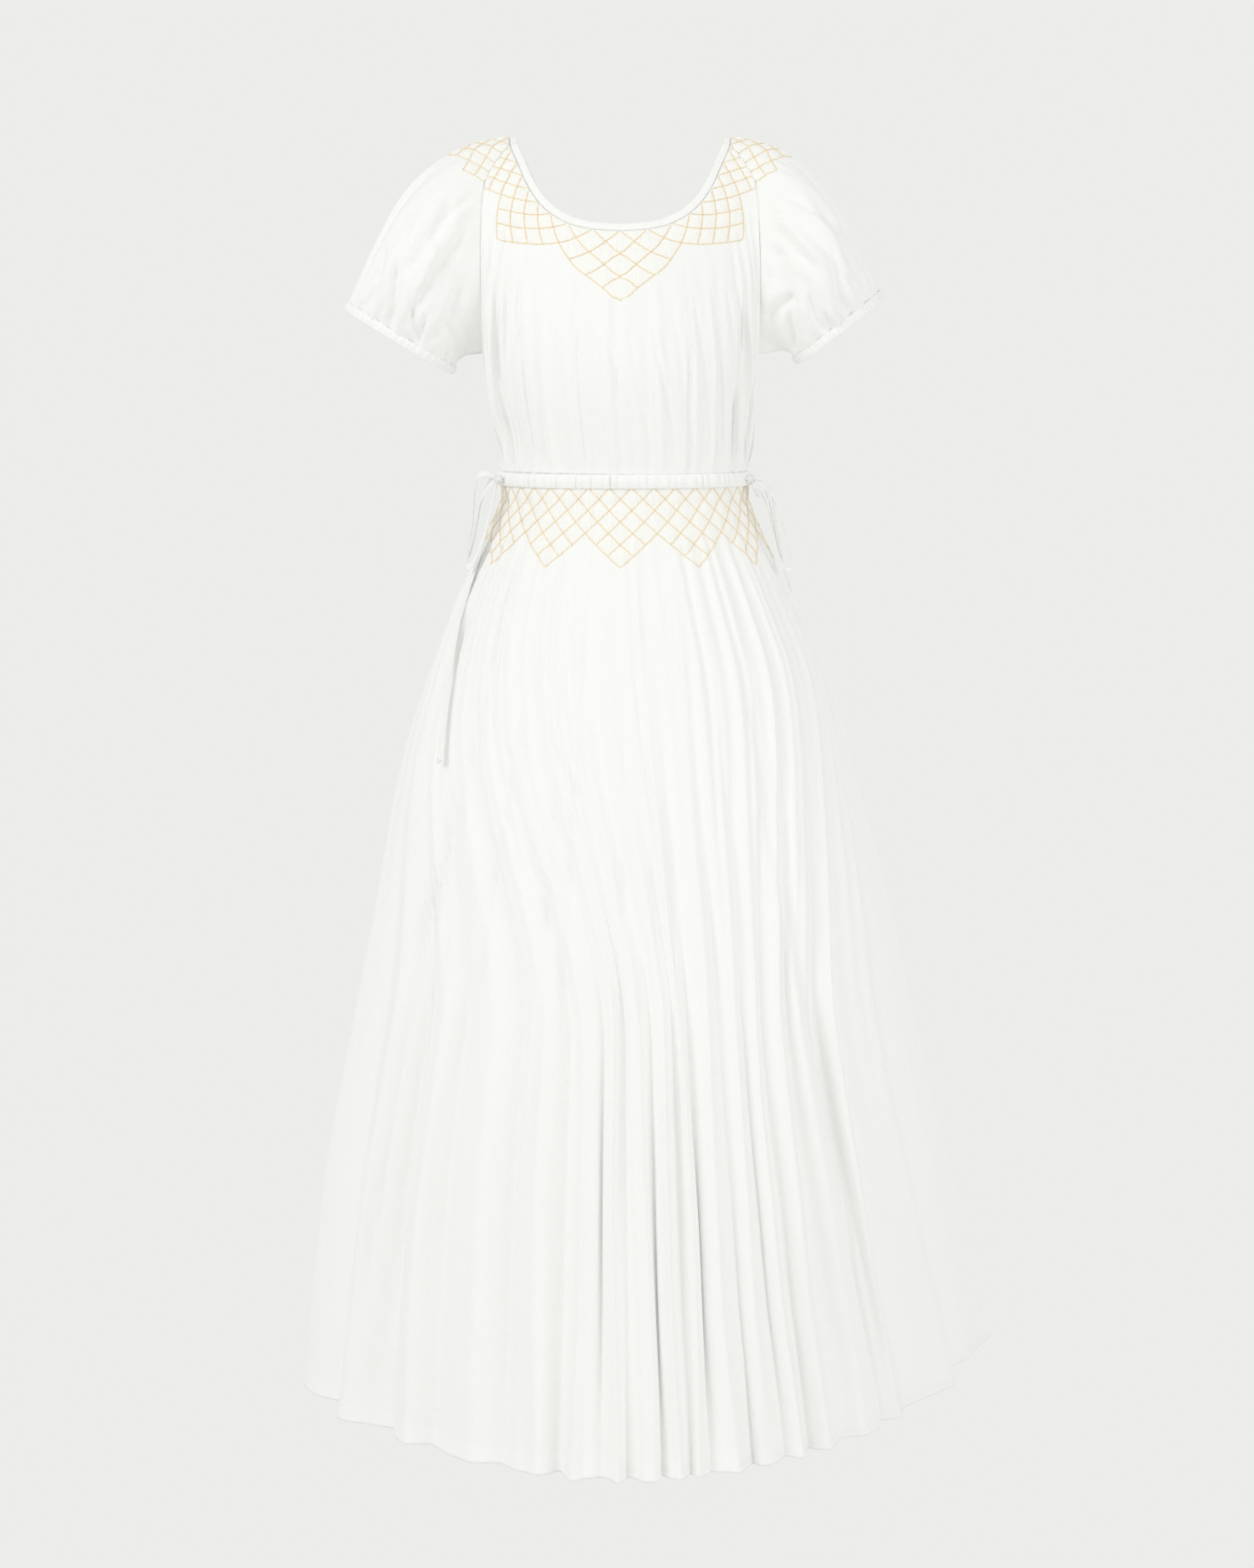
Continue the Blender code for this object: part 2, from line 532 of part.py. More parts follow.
def curve_through(points):
    """Points every TIE_STEP along a smooth curve through a route's own points."""
    points = np.array(points, float)
    before = np.concatenate([[2 * points[0] - points[1]], points[:-1]])
    after = np.concatenate([points[1:], [2 * points[-1] - points[-2]]])
    slope = (after - before) / 2
    fine = []
    for a, b, leave, arrive in zip(points, points[1:], slope, slope[1:]):
        for t in np.linspace(0, 1, 12, endpoint=False):
            fine.append((2 * t**3 - 3 * t**2 + 1) * a + (t**3 - 2 * t**2 + t) * leave
                        + (3 * t**2 - 2 * t**3) * b + (t**3 - t**2) * arrive)
    fine = np.array(fine + [points[-1]])
    along = np.concatenate([[0], np.cumsum(np.linalg.norm(np.diff(fine, axis=0), axis=1))])
    steps = np.linspace(0, along[-1], max(int(round(along[-1] / TIE_STEP)), 2) + 1)
    return np.column_stack([np.interp(steps, along, fine[:, axis]) for axis in range(3)])


def tie(name, route, knot):
    """A flat strip along a route, its face turned away from the dress's middle. It is
    narrow where it enters the knot."""
    route = np.array(route) / 1000
    for end in (0, -1) if "loop" in name else (0,):
        route[end] = knot + unit(route[end] - knot) * (KNOT_RADIUS + SEAM_GAP)
    path = curve_through(route)
    ahead = unit(np.gradient(path, axis=0))
    away = path * [1, 1, 0]
    away = unit(away - ahead * (away * ahead).sum(axis=1)[:, None])
    wide = np.cross(ahead, away)
    apart = np.linalg.norm(path - knot, axis=1) - KNOT_RADIUS
    width = TIE_WIDTH * (TIE_NARROW + (1 - TIE_NARROW) * ease(apart, 0, TIE_TAPER))
    side = wide * width[:, None] / 2
    edges = np.stack([path + side, path - side], axis=1)
    lift = away[:, None] * TIE_WALL / 2
    return wall(name, edges + lift, edges - lift, cloth_fine)


def waist_casing():
    """The gathered tube round the waist, bulging over the drawstring inside it."""
    columns = CASING_COLUMNS
    shares = [0.0, 0.22, 0.78, 1.0]
    out = [CASING_LIP, CASING_BULGE, CASING_BULGE, CASING_LIP]
    outer = np.zeros((len(shares), columns, 3))
    inner = outer.copy()
    for column in range(columns):
        angle = 2 * pi * column / columns - pi / 2
        rib = CASING_RIB * (1 if column % 2 else -1)
        point, way = skirt_section(SKIRT_TOP, angle)
        for row, share in enumerate(shares):
            level = CASING_TOP - SEAM_GAP - CASING_HEIGHT * share
            place = np.array([point[0], point[1], level])
            outer[row, column] = place + way * (out[row] + rib)
            inner[row, column] = place - way * CASING_INSIDE
    return wall("waist_casing", outer, inner, cloth_fine, [0, len(shares) - 1], True)


def cuff(name):
    """The narrow band that gathers a sleeve's end, between two planes square to its axis."""
    axis, middle = cuff_planes[name]
    turn = -1 if name == "left" else 1
    half = (np.array(CUFFS[name]["outer"]) - np.array(CUFFS[name]["inner"])) / 2
    half = np.array([half[0], 0, half[1]])
    deep = np.array([0, CUFFS[name]["depth"] / 2, 0])
    outer = np.zeros((2, CUFF_COLUMNS, 3))
    inner = outer.copy()
    for column in range(CUFF_COLUMNS):
        angle = turn * 2 * pi * column / CUFF_COLUMNS
        round_it = -half * cos(angle) - deep * sin(angle)
        out = unit(round_it)
        rib = CUFF_RIB * (1 if column % 2 else -1)
        for row in range(2):
            place = middle + round_it + axis * (SEAM_GAP + CUFF_HEIGHT * row)
            outer[row, column] = place + out * rib
            inner[row, column] = place - out * CUFF_WALL
    return wall("cuff_" + name, outer, inner, cloth_fine, closed=True)


def knot_place(sign):
    """The middle of a knot, seated on the outside of the waist casing."""
    point, way = skirt_section(SKIRT_TOP, radians(sign * KNOT_ANGLE))
    stand = CASING_BULGE + CASING_RIB + SEAM_GAP + KNOT_RADIUS
    centre = point + way * stand
    centre[2] = CASING_TOP - CASING_HEIGHT / 2
    return centre


def material_of(name, colour, roughness):
    material = bpy.data.materials.new(name)
    material.use_nodes = True
    shader = material.node_tree.nodes["Principled BSDF"]
    shader.inputs["Base Color"].default_value = (*colour, 1)
    shader.inputs["Roughness"].default_value = roughness
    shader.inputs["Metallic"].default_value = 0
    material.diffuse_color = (*colour, 1)
    return material


for old in list(bpy.data.objects):
    bpy.data.objects.remove(old)
collection = bpy.data.collections.new("peasant_dress")
bpy.context.scene.collection.children.link(collection)

cloth = material_of("cotton_voile", (0.90, 0.90, 0.88), 0.85)
cloth_fine = material_of("binding_voile", (0.92, 0.92, 0.90), 0.8)

# The bodice and sleeves are worked out together, so that they share their seams' points.
front_grid = bodice_grid("front")
back_grid = bodice_grid("back")
sewn = {"bodice_front": front_grid, "bodice_back": back_grid}
cuff_planes = {}
for hand in CUFFS:
    sewn["sleeve_" + hand], axis, middle = sleeve_grid(hand, front_grid, back_grid)
    cuff_planes[hand] = axis, middle
plain = sewn_normals(sewn, ["sleeve_left", "sleeve_right"])
for hand in CUFFS:
    name = "sleeve_" + hand
    sewn[name] = sewn[name] + plain[name][0] * sleeve_gathers(sewn[name])[..., None]
normals = sewn_normals(sewn, ["sleeve_left", "sleeve_right"])

# The binding runs on from the panels' and sleeves' edges towards the neck opening.
over = slice(UNDERARM_ROW + 1, UNDERARM_ROW + NECK_COLUMNS)
neck_parts = [("bodice_front", slice(None)), ("sleeve_right", over),
              ("bodice_back", slice(None)), ("sleeve_left", over)]
seam = np.concatenate([sewn[name][0, part] for name, part in neck_parts])
seam_normal = np.concatenate([plain[name][0][0, part] for name, part in neck_parts])
along = unit(np.roll(seam, -1, axis=0) - np.roll(seam, 1, axis=0))
sewn["neck_binding"] = np.stack([seam + unit(np.cross(seam_normal, along)) * BINDING_WIDTH,
                                 seam])
normals = sewn_normals(sewn, ["sleeve_left", "sleeve_right", "neck_binding"])

UP = np.array([0.0, 0.0, 1.0])
for name, grid in (("bodice_front", front_grid), ("bodice_back", back_grid)):
    panel(name, grid, normals[name], cloth, bodice_relief(grid),
          rims=("top", "first", "last"), planes=[(-1, grid[-1, 0], UP)])
for hand in CUFFS:
    name = "sleeve_" + hand
    axis, middle = cuff_planes[hand]
    panel(name, sewn[name], normals[name], cloth, sleeve_relief(sewn[name]), rims=("top",),
          planes=[(-1, middle, axis)], closed=True, inner_rows=SLEEVE_INNER_ROWS)
    cuff(hand)
panel("neck_binding", sewn["neck_binding"], normals["neck_binding"], cloth_fine,
      rims=("bottom",), closed=True, thickness=BINDING_WALL)
waist_casing()

skirt, skirt_smocking, half = skirt_grid()
skirt_smocking[-2:] = HEM_RAISE
around = sewn_normals({"skirt": skirt}, ["skirt"])["skirt"]
for name, columns in (("skirt_front", range(half + 1)),
                      ("skirt_back", range(half, 2 * half + 1))):
    columns = [column % (2 * half) for column in columns]
    part = skirt[:, columns]
    panel(name, part, (around[0][:, columns], around[1][:, columns]), cloth,
          skirt_smocking[:, columns], rims=("first", "last"), inner_rows=SKIRT_INNER_ROWS,
          planes=[(0, part[0, 0], UP), (-1, part[-1, 0], UP)])

for name, sign in (("left", -1), ("right", 1)):
    centre = knot_place(sign)
    bpy.ops.mesh.primitive_uv_sphere_add(segments=10, ring_count=6, radius=KNOT_RADIUS,
                                         location=centre)
    knot = bpy.context.object
    knot.name = knot.data.name = "tie_knot_" + name
    knot.data.materials.append(cloth_fine)
    knot.data.shade_smooth()
    for other in list(knot.users_collection):
        other.objects.unlink(knot)
    collection.objects.link(knot)
    for part, route in TIES.items():
        if part.endswith(name):
            tie(part, route, centre)
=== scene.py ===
"""A peasant dress in white cotton voile, filled out as if worn by nobody, for one photograph.

Metres, +Z up, the front towards -Y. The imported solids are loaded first, and each piece of
cloth, thread or tie here stands for its solid on the same form.
"""

from math import cos, pi, radians, sin

import bmesh
import bpy
import numpy as np
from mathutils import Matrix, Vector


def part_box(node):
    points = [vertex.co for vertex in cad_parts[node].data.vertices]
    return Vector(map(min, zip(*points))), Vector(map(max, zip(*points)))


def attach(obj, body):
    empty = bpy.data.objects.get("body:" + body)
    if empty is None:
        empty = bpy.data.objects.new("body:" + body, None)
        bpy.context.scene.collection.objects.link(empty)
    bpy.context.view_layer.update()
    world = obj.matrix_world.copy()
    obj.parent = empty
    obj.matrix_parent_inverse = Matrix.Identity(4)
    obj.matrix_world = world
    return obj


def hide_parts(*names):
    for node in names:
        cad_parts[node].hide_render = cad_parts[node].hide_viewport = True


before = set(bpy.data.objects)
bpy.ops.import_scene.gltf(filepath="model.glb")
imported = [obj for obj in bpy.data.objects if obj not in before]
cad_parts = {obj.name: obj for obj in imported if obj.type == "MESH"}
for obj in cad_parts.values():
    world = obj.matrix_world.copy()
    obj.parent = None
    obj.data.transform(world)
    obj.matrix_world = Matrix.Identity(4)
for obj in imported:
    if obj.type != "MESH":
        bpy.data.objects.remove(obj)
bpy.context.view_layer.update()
scene = bpy.context.scene
for loaded in bpy.context.selected_objects:
    loaded.select_set(False)


# Studio. A camera on a long lens looks slightly down at the dress from 3.4 m away. The
# light is that of a catalogue photograph: pale paper all round, lit apart from the dress,
# and a large soft box high on the left with weaker ones on the right and behind.
def linear(hex_colour):
    """An sRGB hex colour as linear red, green and blue."""
    parts = [int(hex_colour[i: i + 2], 16) / 255 for i in (1, 3, 5)]
    return [c / 12.92 if c <= 0.04045 else ((c + 0.055) / 1.055) ** 2.4 for c in parts]


def add_node(material, kind, links=None, **settings):
    """Adds a shader node. Links name its input and the socket it comes from, and settings
    are its properties, or its inputs' values where it has no such property."""
    node = material.node_tree.nodes.new(kind)
    for name, value in settings.items():
        if hasattr(node, name):
            setattr(node, name, value)
        else:
            node.inputs[name.replace("_", " ")].default_value = value
    for name, socket in (links or {}).items():
        material.node_tree.links.new(socket, node.inputs[name])
    return node


PAPER = "#ECEDEA"
ROOM_LIGHT = 0.89  # of the paper's own brightness, the share that reaches the dress


def as_paper(material, glow, output):
    """Makes a world or a material shine like pale paper, in full to the camera and by its
    share to the dress."""
    material.use_nodes = True
    material.node_tree.nodes.clear()
    lit, shown = (add_node(material, glow, Color=(*linear(PAPER), 1), Strength=strength)
                  for strength in (ROOM_LIGHT, 1))
    seen = add_node(material, "ShaderNodeLightPath").outputs["Is Camera Ray"]
    mixed = add_node(material, "ShaderNodeMixShader",
                     {0: seen, 1: lit.outputs[0], 2: shown.outputs[0]})
    add_node(material, output, {"Surface": mixed.outputs[0]})
    return material


camera = bpy.data.objects.new("camera", bpy.data.cameras.new("camera"))
scene.collection.objects.link(camera)
camera.location = 0.0074, -3.4, -0.2115
camera.rotation_euler = radians(90 - 8.3), 0, 0
camera.data.lens = 70.8
camera.data.sensor_width = 36
scene.camera = camera

scene.view_settings.view_transform = "Standard"
scene.view_settings.look = "None"
scene.world = as_paper(bpy.data.worlds.new("pale_room"), "ShaderNodeBackground",
                       "ShaderNodeOutputWorld")

for name, place, size, watts in (("key_box", (-2.9, -2.8, 1.6), 2.0, 46),
                                 ("fill_box", (3.0, -2.8, -0.5), 2.2, 25),
                                 ("back_box", (1.2, 3.8, 1.2), 2.2, 34)):
    box_light = bpy.data.objects.new(name, bpy.data.lights.new(name, "AREA"))
    scene.collection.objects.link(box_light)
    box_light.location = place
    box_light.data.size = size
    box_light.data.energy = watts
    way = np.array([0, 0, -0.75]) - place
    box_light.rotation_euler = (np.arccos(-way[2] / np.linalg.norm(way)), 0,
                                np.arctan2(way[1], way[0]) - pi / 2)

bpy.ops.mesh.primitive_plane_add(size=60, location=(0, 0, -1.75))
floor = bpy.context.object
floor.name = "studio_floor"
floor.data.materials.append(as_paper(bpy.data.materials.new("studio_paper"),
                                     "ShaderNodeEmission", "ShaderNodeOutputMaterial"))


# Bodice. Two panels of white cotton voile, cut wide and drawn in under the round neck by
# smocking in pale yellow thread. They fall in fine gathers to the waist seam.
NECK = dict(
    row=[0, 1, 2, 3, 4, 5, 6, 7, 8],
    across=[0.0, 0.0271, 0.0466, 0.0671, 0.0841, 0.0987, 0.1100, 0.1185, 0.1200],
    front=[0.088, 0.087, 0.083, 0.077, 0.068, 0.055, 0.035, 0.016, 0.0],
    back=[0.083, 0.082, 0.079, 0.074, 0.066, 0.053, 0.034, 0.016, 0.0],
    level=[-0.1034, -0.1017, -0.098, -0.0891, -0.0757, -0.055, -0.0300, -0.0100, -0.001],
)
NECK_CORNER = 7  # the row of NECK where a panel ends and the sleeve begins
WAIST = -0.3610
SIDE = dict(
    level=[-0.0100, -0.0280, -0.0437, -0.075, -0.105, -0.141, -0.185, -0.2164, -0.230,
           -0.2844, -0.3208, -0.345, WAIST],
    across=[0.1185, 0.1316, 0.1438, 0.148, 0.149, 0.1492, 0.149, 0.1492, 0.1498,
            0.1440, 0.1392, 0.1358, 0.1353],
    edge=[0.016, 0.030, 0.040, 0.052, 0.055, 0.055, 0.045, 0.025, 0.0,
          0.0, 0.0, 0.0, 0.0],
    lean=[0.0, 0.0, 0.0, 0.0, 0.0, 0.0, 0.0, 0.0, 0.0,
          0.0015, 0.0040, 0.0050, 0.0050],
)
BODY = dict(
    level=[0.0, -0.03, -0.06, -0.1034, -0.15, -0.20, -0.245, -0.29, -0.33, WAIST],
    front=[0.030, 0.055, 0.072, 0.088, 0.107, 0.121, 0.126, 0.118, 0.106, 0.096],
    back=[0.030, 0.052, 0.068, 0.083, 0.097, 0.104, 0.102, 0.096, 0.092, 0.090],
)
BODY_ROUND = 2.2
ROWS = dict(
    row=list(range(16)),
    side=[-0.0100, -0.025, -0.040, -0.058, -0.080, -0.105, -0.132, -0.160, -0.188, -0.212,
          -0.230, -0.256, -0.283, -0.310, -0.336, WAIST],
    bust=[0.0, 0.035, 0.070, 0.105, 0.140, 0.175, 0.210, 0.250, 0.315, 0.390,
          0.480, 0.580, 0.680, 0.785, 0.890, 1.0],
    middle=[0.0, 0.048, 0.097, 0.145, 0.193, 0.242, 0.290, 0.342, 0.401, 0.465,
            0.539, 0.625, 0.714, 0.807, 0.903, 1.0],
)
UNDERARM_ROW = 10
BUST_COLUMN = 0.7
SMOCKS_ACROSS = 10  # pairs of gathers across a panel, four points a pair
NECK_SPREAD = 0.15
FAN_LENGTH = 0.05
FINE_ROWS = 8  # points between two rows of the tables
EVENINGS = 70  # times that the form is evened out down its rows
GATHER = 0.0024
SMOCK_RAISE = 0.0016
VOILE = 0.0007  # the shell's thickness; real voile is thinner still
SEAM_GAP = 0.0003

# Creases pressed into the front, in millimetres as seen from the front: where each starts
# and ends, how far it bows to the right, its depth and its width. A ridge has a depth
# under zero.
FRONT_CREASES = dict(
    from_x=[-133, -129, -121, -108, -92, -72, -46, -14, 8, 30, 52, 75, 96, 112, 124, 131,
            -138, 136, -100, 66],
    from_z=[-140, -150, -150, -152, -155, -160, -170, -200, -195, -180, -160, -150, -150,
            -150, -150, -160, -175, -175, -158, -155],
    to_x=[-122, -112, -100, -88, -76, -58, -34, 22, 38, 62, 78, 96, 110, 121, 131, 137,
          -129, 140, -84, 88],
    to_z=[-360, -360, -360, -360, -360, -360, -360, -360, -360, -360, -360, -360, -360,
          -360, -360, -360, -360, -360, -340, -350],
    bow=[-4, -5, -6, -5, -3, -3, -4, -3, -1, 1, 2, 4, 4, 5, 5, 3, -3, 3, -4, 2],
    depth=[3.2, 2.6, 2.8, 2.4, 1.8, 1.2, 1.3, 1.6, 1.0, 2.0, 1.0, 1.6, 2.2, 2.4, 2.8, 3.0,
           -2.0, -2.0, -1.4, -1.0],
    width=[2.8, 2.6, 2.8, 2.6, 2.6, 3.5, 3.5, 3.0, 3.0, 2.8, 3.5, 3.0, 2.6, 2.6, 2.6, 2.8,
           3.0, 3.0, 4.0, 4.0],
)
BACK_CREASES = dict(
    from_x=[-132, -124, -112, -97, -78, -55, -30, -6, 18, 41, 63, 86, 104, 118, 128],
    from_z=[-150, -148, -155, -150, -160, -165, -180, -190, -185, -172, -165, -158, -150,
            -150, -155],
    to_x=[-124, -113, -101, -86, -66, -44, -26, 2, 24, 44, 70, 92, 108, 122, 133],
    to_z=[-360] * 15,
    bow=[-4, -4, -3, -5, -2, -3, 2, -2, 2, 3, -2, 3, 4, 4, 3],
    depth=[3.0, 2.2, 2.8, 1.8, 2.2, 1.2, 1.6, 1.0, 1.4, 1.8, 1.2, 2.0, 2.6, 2.2, 3.0],
    width=[2.8, 2.6, 3.0, 2.8, 3.2, 3.6, 3.2, 3.8, 3.2, 3.0, 3.6, 2.8, 2.6, 2.8, 2.6],
)


def curve(t, start, leave, end, arrive):
    """A curve from start to end, with its slope at each."""
    return ((2 * t**3 - 3 * t**2 + 1) * start + (t**3 - 2 * t**2 + t) * leave
            + (3 * t**2 - 2 * t**3) * end + (t**3 - t**2) * arrive)


def smooth(table, column, at, by="level"):
    """A column of a table at a place along another one, on a curve through its rows that
    turns back only where the rows do."""
    places = np.array(table[by], float)
    values = np.array(table[column], float)
    if places[0] > places[-1]:
        places, values = places[::-1], values[::-1]
    steps = np.diff(values) / np.diff(places)
    before, after = steps[:-1], steps[1:]
    turning = before * after <= 0
    mean = 2 * before * after / np.where(turning, 1, before + after)
    slopes = np.concatenate([steps[:1], np.where(turning, 0, mean), steps[-1:]])
    at = np.clip(at, places[0], places[-1])
    row = np.clip(np.searchsorted(places, at, side="right") - 1, 0, len(places) - 2)
    wide = places[row + 1] - places[row]
    t = (at - places[row]) / wide
    return curve(t, values[row], wide * slopes[row], values[row + 1],
                 wide * slopes[row + 1])


def ease(at, start, end):
    """0 before start and 1 after end, with a soft turn at each."""
    t = np.clip((at - start) / (end - start), 0, 1)
    return t * t * (3 - 2 * t)


def uneven(number, low, high):
    """A fixed, uneven value between low and high for each whole number."""
    return low + (high - low) * (0.5 + 0.5 * np.sin(number * 12.9898 + np.sin(number * 4.1)))


def unit(vectors):
    return vectors / np.maximum(np.linalg.norm(vectors, axis=-1, keepdims=True), 1e-12)


def circle(count):
    """Angles evenly round a circle."""
    return np.linspace(0, 2 * pi, count + 1)[:-1]


def squarer(values, power):
    """A section's sines or cosines, moved out towards -1 and 1."""
    return abs(values) ** power * np.sign(values)


def outward(grid, closed=False):
    """The outward normal at each point of a grid of rows and columns."""
    down = np.gradient(grid, axis=0)
    if closed:
        across = np.roll(grid, -1, axis=1) - np.roll(grid, 1, axis=1)
    else:
        across = np.gradient(grid, axis=1)
    return unit(np.cross(down, across))


def diamonds(across, down):
    """Height of a smocked cell from 0 on the threads to 1 in the diamond's middle."""
    return abs(np.sin(pi * (across + down)) * np.sin(pi * (across - down)))


def pressed(grid, way, creases, side):
    """How far the given creases move each point along its normal, where it faces side."""
    moved = np.zeros(grid.shape[:2])
    facing = np.clip(-side * way[..., 1] * 2.5, 0, 1)
    flat = grid[..., [0, 2]]
    for i in range(len(creases["depth"])):
        start = np.array([creases["from_x"][i], creases["from_z"][i]]) / 1000
        run = np.array([creases["to_x"][i], creases["to_z"][i]]) / 1000 - start
        length = np.linalg.norm(run)
        run = run / length
        t = (flat - start) @ run / length
        off = (flat - start) @ np.array([-run[1], run[0]])
        off = off - creases["bow"][i] / 1000 * 4 * t * (1 - t)
        wide = creases["width"][i] / 1000
        taper = ease(t, 0, 0.25) * (1 - ease(t, 0.8, 1.08))
        line = np.exp(-((off / wide) ** 2)) - 0.4 * np.exp(-((off / wide / 2.3) ** 2))
        moved -= creases["depth"][i] / 1000 * line * taper * facing
    return moved


def neck_line(place, side):
    """Points of the neck seam. place runs from -1 to 1, one sleeve corner to the other."""
    rows = np.arange(NECK_CORNER + 1)
    lengths = np.hypot(np.diff(np.array(NECK["across"])[rows]),
                       np.diff(np.array(NECK["level"])[rows]))
    along = np.concatenate([[0], np.cumsum(lengths)])
    row = np.interp(abs(place) * along[-1], along, rows)
    across, depth, level = (smooth(NECK, name, row, "row")
                            for name in ("across", side, "level"))
    return np.stack([np.sign(place) * across, (-1 if side == "front" else 1) * depth,
                     level], axis=-1)


def body_depth(share, level, side):
    """How far the cloth stands from the side plane, at a share of the half width."""
    edge = smooth(SIDE, "edge", level)
    full = smooth(BODY, side, level)
    power = 1 + (1 / BODY_ROUND - 1) * ease(-level, 0.15, 0.23)
    return edge + (full - edge) * np.maximum(1 - abs(share) ** BODY_ROUND, 0) ** power


def bodice_form(side, columns):
    """The panel's form before its smocking: rows from the neck down, columns across."""
    turn = 1 if side == "front" else -1
    rows = np.linspace(0, 15, 15 * FINE_ROWS + 1)[:, None]
    even = np.linspace(-1, 1, columns + 1)[None]
    place = even * (1 + NECK_SPREAD) - NECK_SPREAD * even * abs(even)
    top = neck_line(place[0], side)
    drop = (top[:, 2] - WAIST)[None]
    bust = np.interp(abs(place), [0, BUST_COLUMN, 1], [0, 1, 1])
    bust = bust * bust * (3 - 2 * bust)
    middle = smooth(ROWS, "middle", rows, "row")
    step = middle + (smooth(ROWS, "bust", rows, "row") - middle) * bust
    at_side = smooth(ROWS, "side", rows, "row")
    at_side = (at_side[0] - at_side) / (at_side[0] - WAIST)
    step = step + (at_side - step) * ease(abs(place), BUST_COLUMN, 1)
    level = top[None, :, 2] - drop * step
    fan = (1 - np.exp(-drop * step / FAN_LENGTH)) / (1 - np.exp(-drop / FAN_LENGTH))
    top_share = (top[:, 0] / smooth(SIDE, "across", top[:, 2]))[None]
    share = top_share + (np.sin(pi / 2 * place) - top_share) * fan
    across = share * smooth(SIDE, "across", level)
    start = abs(top[:, 1]) - body_depth(top_share, top[None, :, 2], side)
    depth = body_depth(share, level, side) + start * np.exp(-drop * step / FAN_LENGTH) * (
        1 - step)
    grid = np.stack([across * turn, -turn * depth, level], axis=-1)
    # Evened out, so that no level of the tables stands out as a band.
    for _ in range(EVENINGS):
        grid[1:-1] = grid[1:-1] / 2 + (grid[:-2] + grid[2:]) / 4
    # Between the smocking and the waist the fullness stands in fine gathers.
    column = (even + 1) / 2 * SMOCKS_ACROSS * 4
    flat = ease(1 - abs(place), 0, 0.06) * ease(step, 0.1, 0.35)
    flat = flat * (1 - 0.6 * ease(step, 0.94, 1))
    column = column + 0.35 * np.sin(column * 0.71) + 0.2 * np.sin(column * 1.9)
    calm = 1 - 0.55 * np.exp(-((abs(place) - 0.42) / 0.2) ** 2) * (1 - ease(step, 0.5, 0.85))
    height = -GATHER * np.cos(pi * column) * uneven(column // 2, 0.35, 1.0) * calm
    height = height + 0.0006 * np.sin(column * 5.1 + 3 * np.sin(column * 1.7)) * ease(
        step, 0.3, 0.6)
    grid[..., :2] *= (1 + flat * height / np.hypot(across, depth))[..., None]
    grid[..., 0] += smooth(SIDE, "lean", level)
    return grid, place + 0 * level, rows + 0 * level


# The smocked yoke's lower edge beside its point, which the diamonds themselves make in
# the middle. A plain strip runs down beside each armhole. The back is taken to be alike.
YOKE = dict(
    across=[-0.134, -0.107, -0.081, -0.059, -0.045, -0.023, 0.0, 0.025, 0.051, 0.065,
            0.082, 0.104, 0.124],
    level=[-0.122, -0.122, -0.119, -0.119, -0.125, -0.147, -0.170, -0.151, -0.127, -0.120,
           -0.114, -0.114, -0.121],
)


CELL_WIDE = 0.029
CELL_HIGH = 0.026
SMALL_CELL = 0.0195


def cells_from_neck(grid, sides, middle):
    """Each point's place in the smocking, which follows the neck seam: cells along the seam
    and cells away from it. The cells are largest in the middle of a panel, and small
    beside it and on the sleeves."""
    rows = np.linspace(0, 8, 200)
    halves = []
    for side, sign in sides:
        depth = smooth(NECK, side, rows, "row") * (-1 if side == "front" else 1)
        halves.append(np.stack([sign * smooth(NECK, "across", rows, "row"), depth,
                                smooth(NECK, "level", rows, "row")], axis=-1))
    seam = np.concatenate([halves[0][::-1], halves[1][1:]] if middle
                          else [halves[0], halves[1][::-1][1:]])
    along = np.concatenate([[0], np.cumsum(np.linalg.norm(np.diff(seam, axis=0), axis=1))])
    along = along - along[199]
    narrow = ease(abs(along), 0.03, 0.09) if middle else 1 + 0 * along
    wide = CELL_WIDE + (SMALL_CELL - CELL_WIDE) * narrow
    high = CELL_HIGH + (SMALL_CELL - CELL_HIGH) * narrow
    cells = np.concatenate([[0], np.cumsum(np.diff(along) / ((wide[1:] + wide[:-1]) / 2))])
    cells = cells - cells[199]
    found = np.empty(grid.shape[:2] + (2,))
    for row, points in enumerate(grid):
        apart = np.linalg.norm(points[:, None] - seam[None], axis=-1)
        near = apart.argmin(axis=1)
        found[row] = np.stack([cells[near], apart.min(axis=1) / high[near]], axis=-1)
    return found[..., 0], found[..., 1]


def whole_cells(along, away, wanted):
    """The diamonds that lie mostly in the wanted part, and the points that they cover."""
    first = np.floor(along + away).astype(int)
    second = np.floor(along - away).astype(int)
    chosen, covered = set(), np.zeros(along.shape, bool)
    for cell in set(zip(first[wanted].tolist(), second[wanted].tolist())):
        here = (first == cell[0]) & (second == cell[1])
        if wanted[here].mean() > 0.5:
            chosen.add(cell)
            covered |= here
    return chosen, covered


CELL_STEPS = 14  # places along one side of a diamond
CELL_BLUR = 0.06  # of a cell, over which the cloth's points are averaged


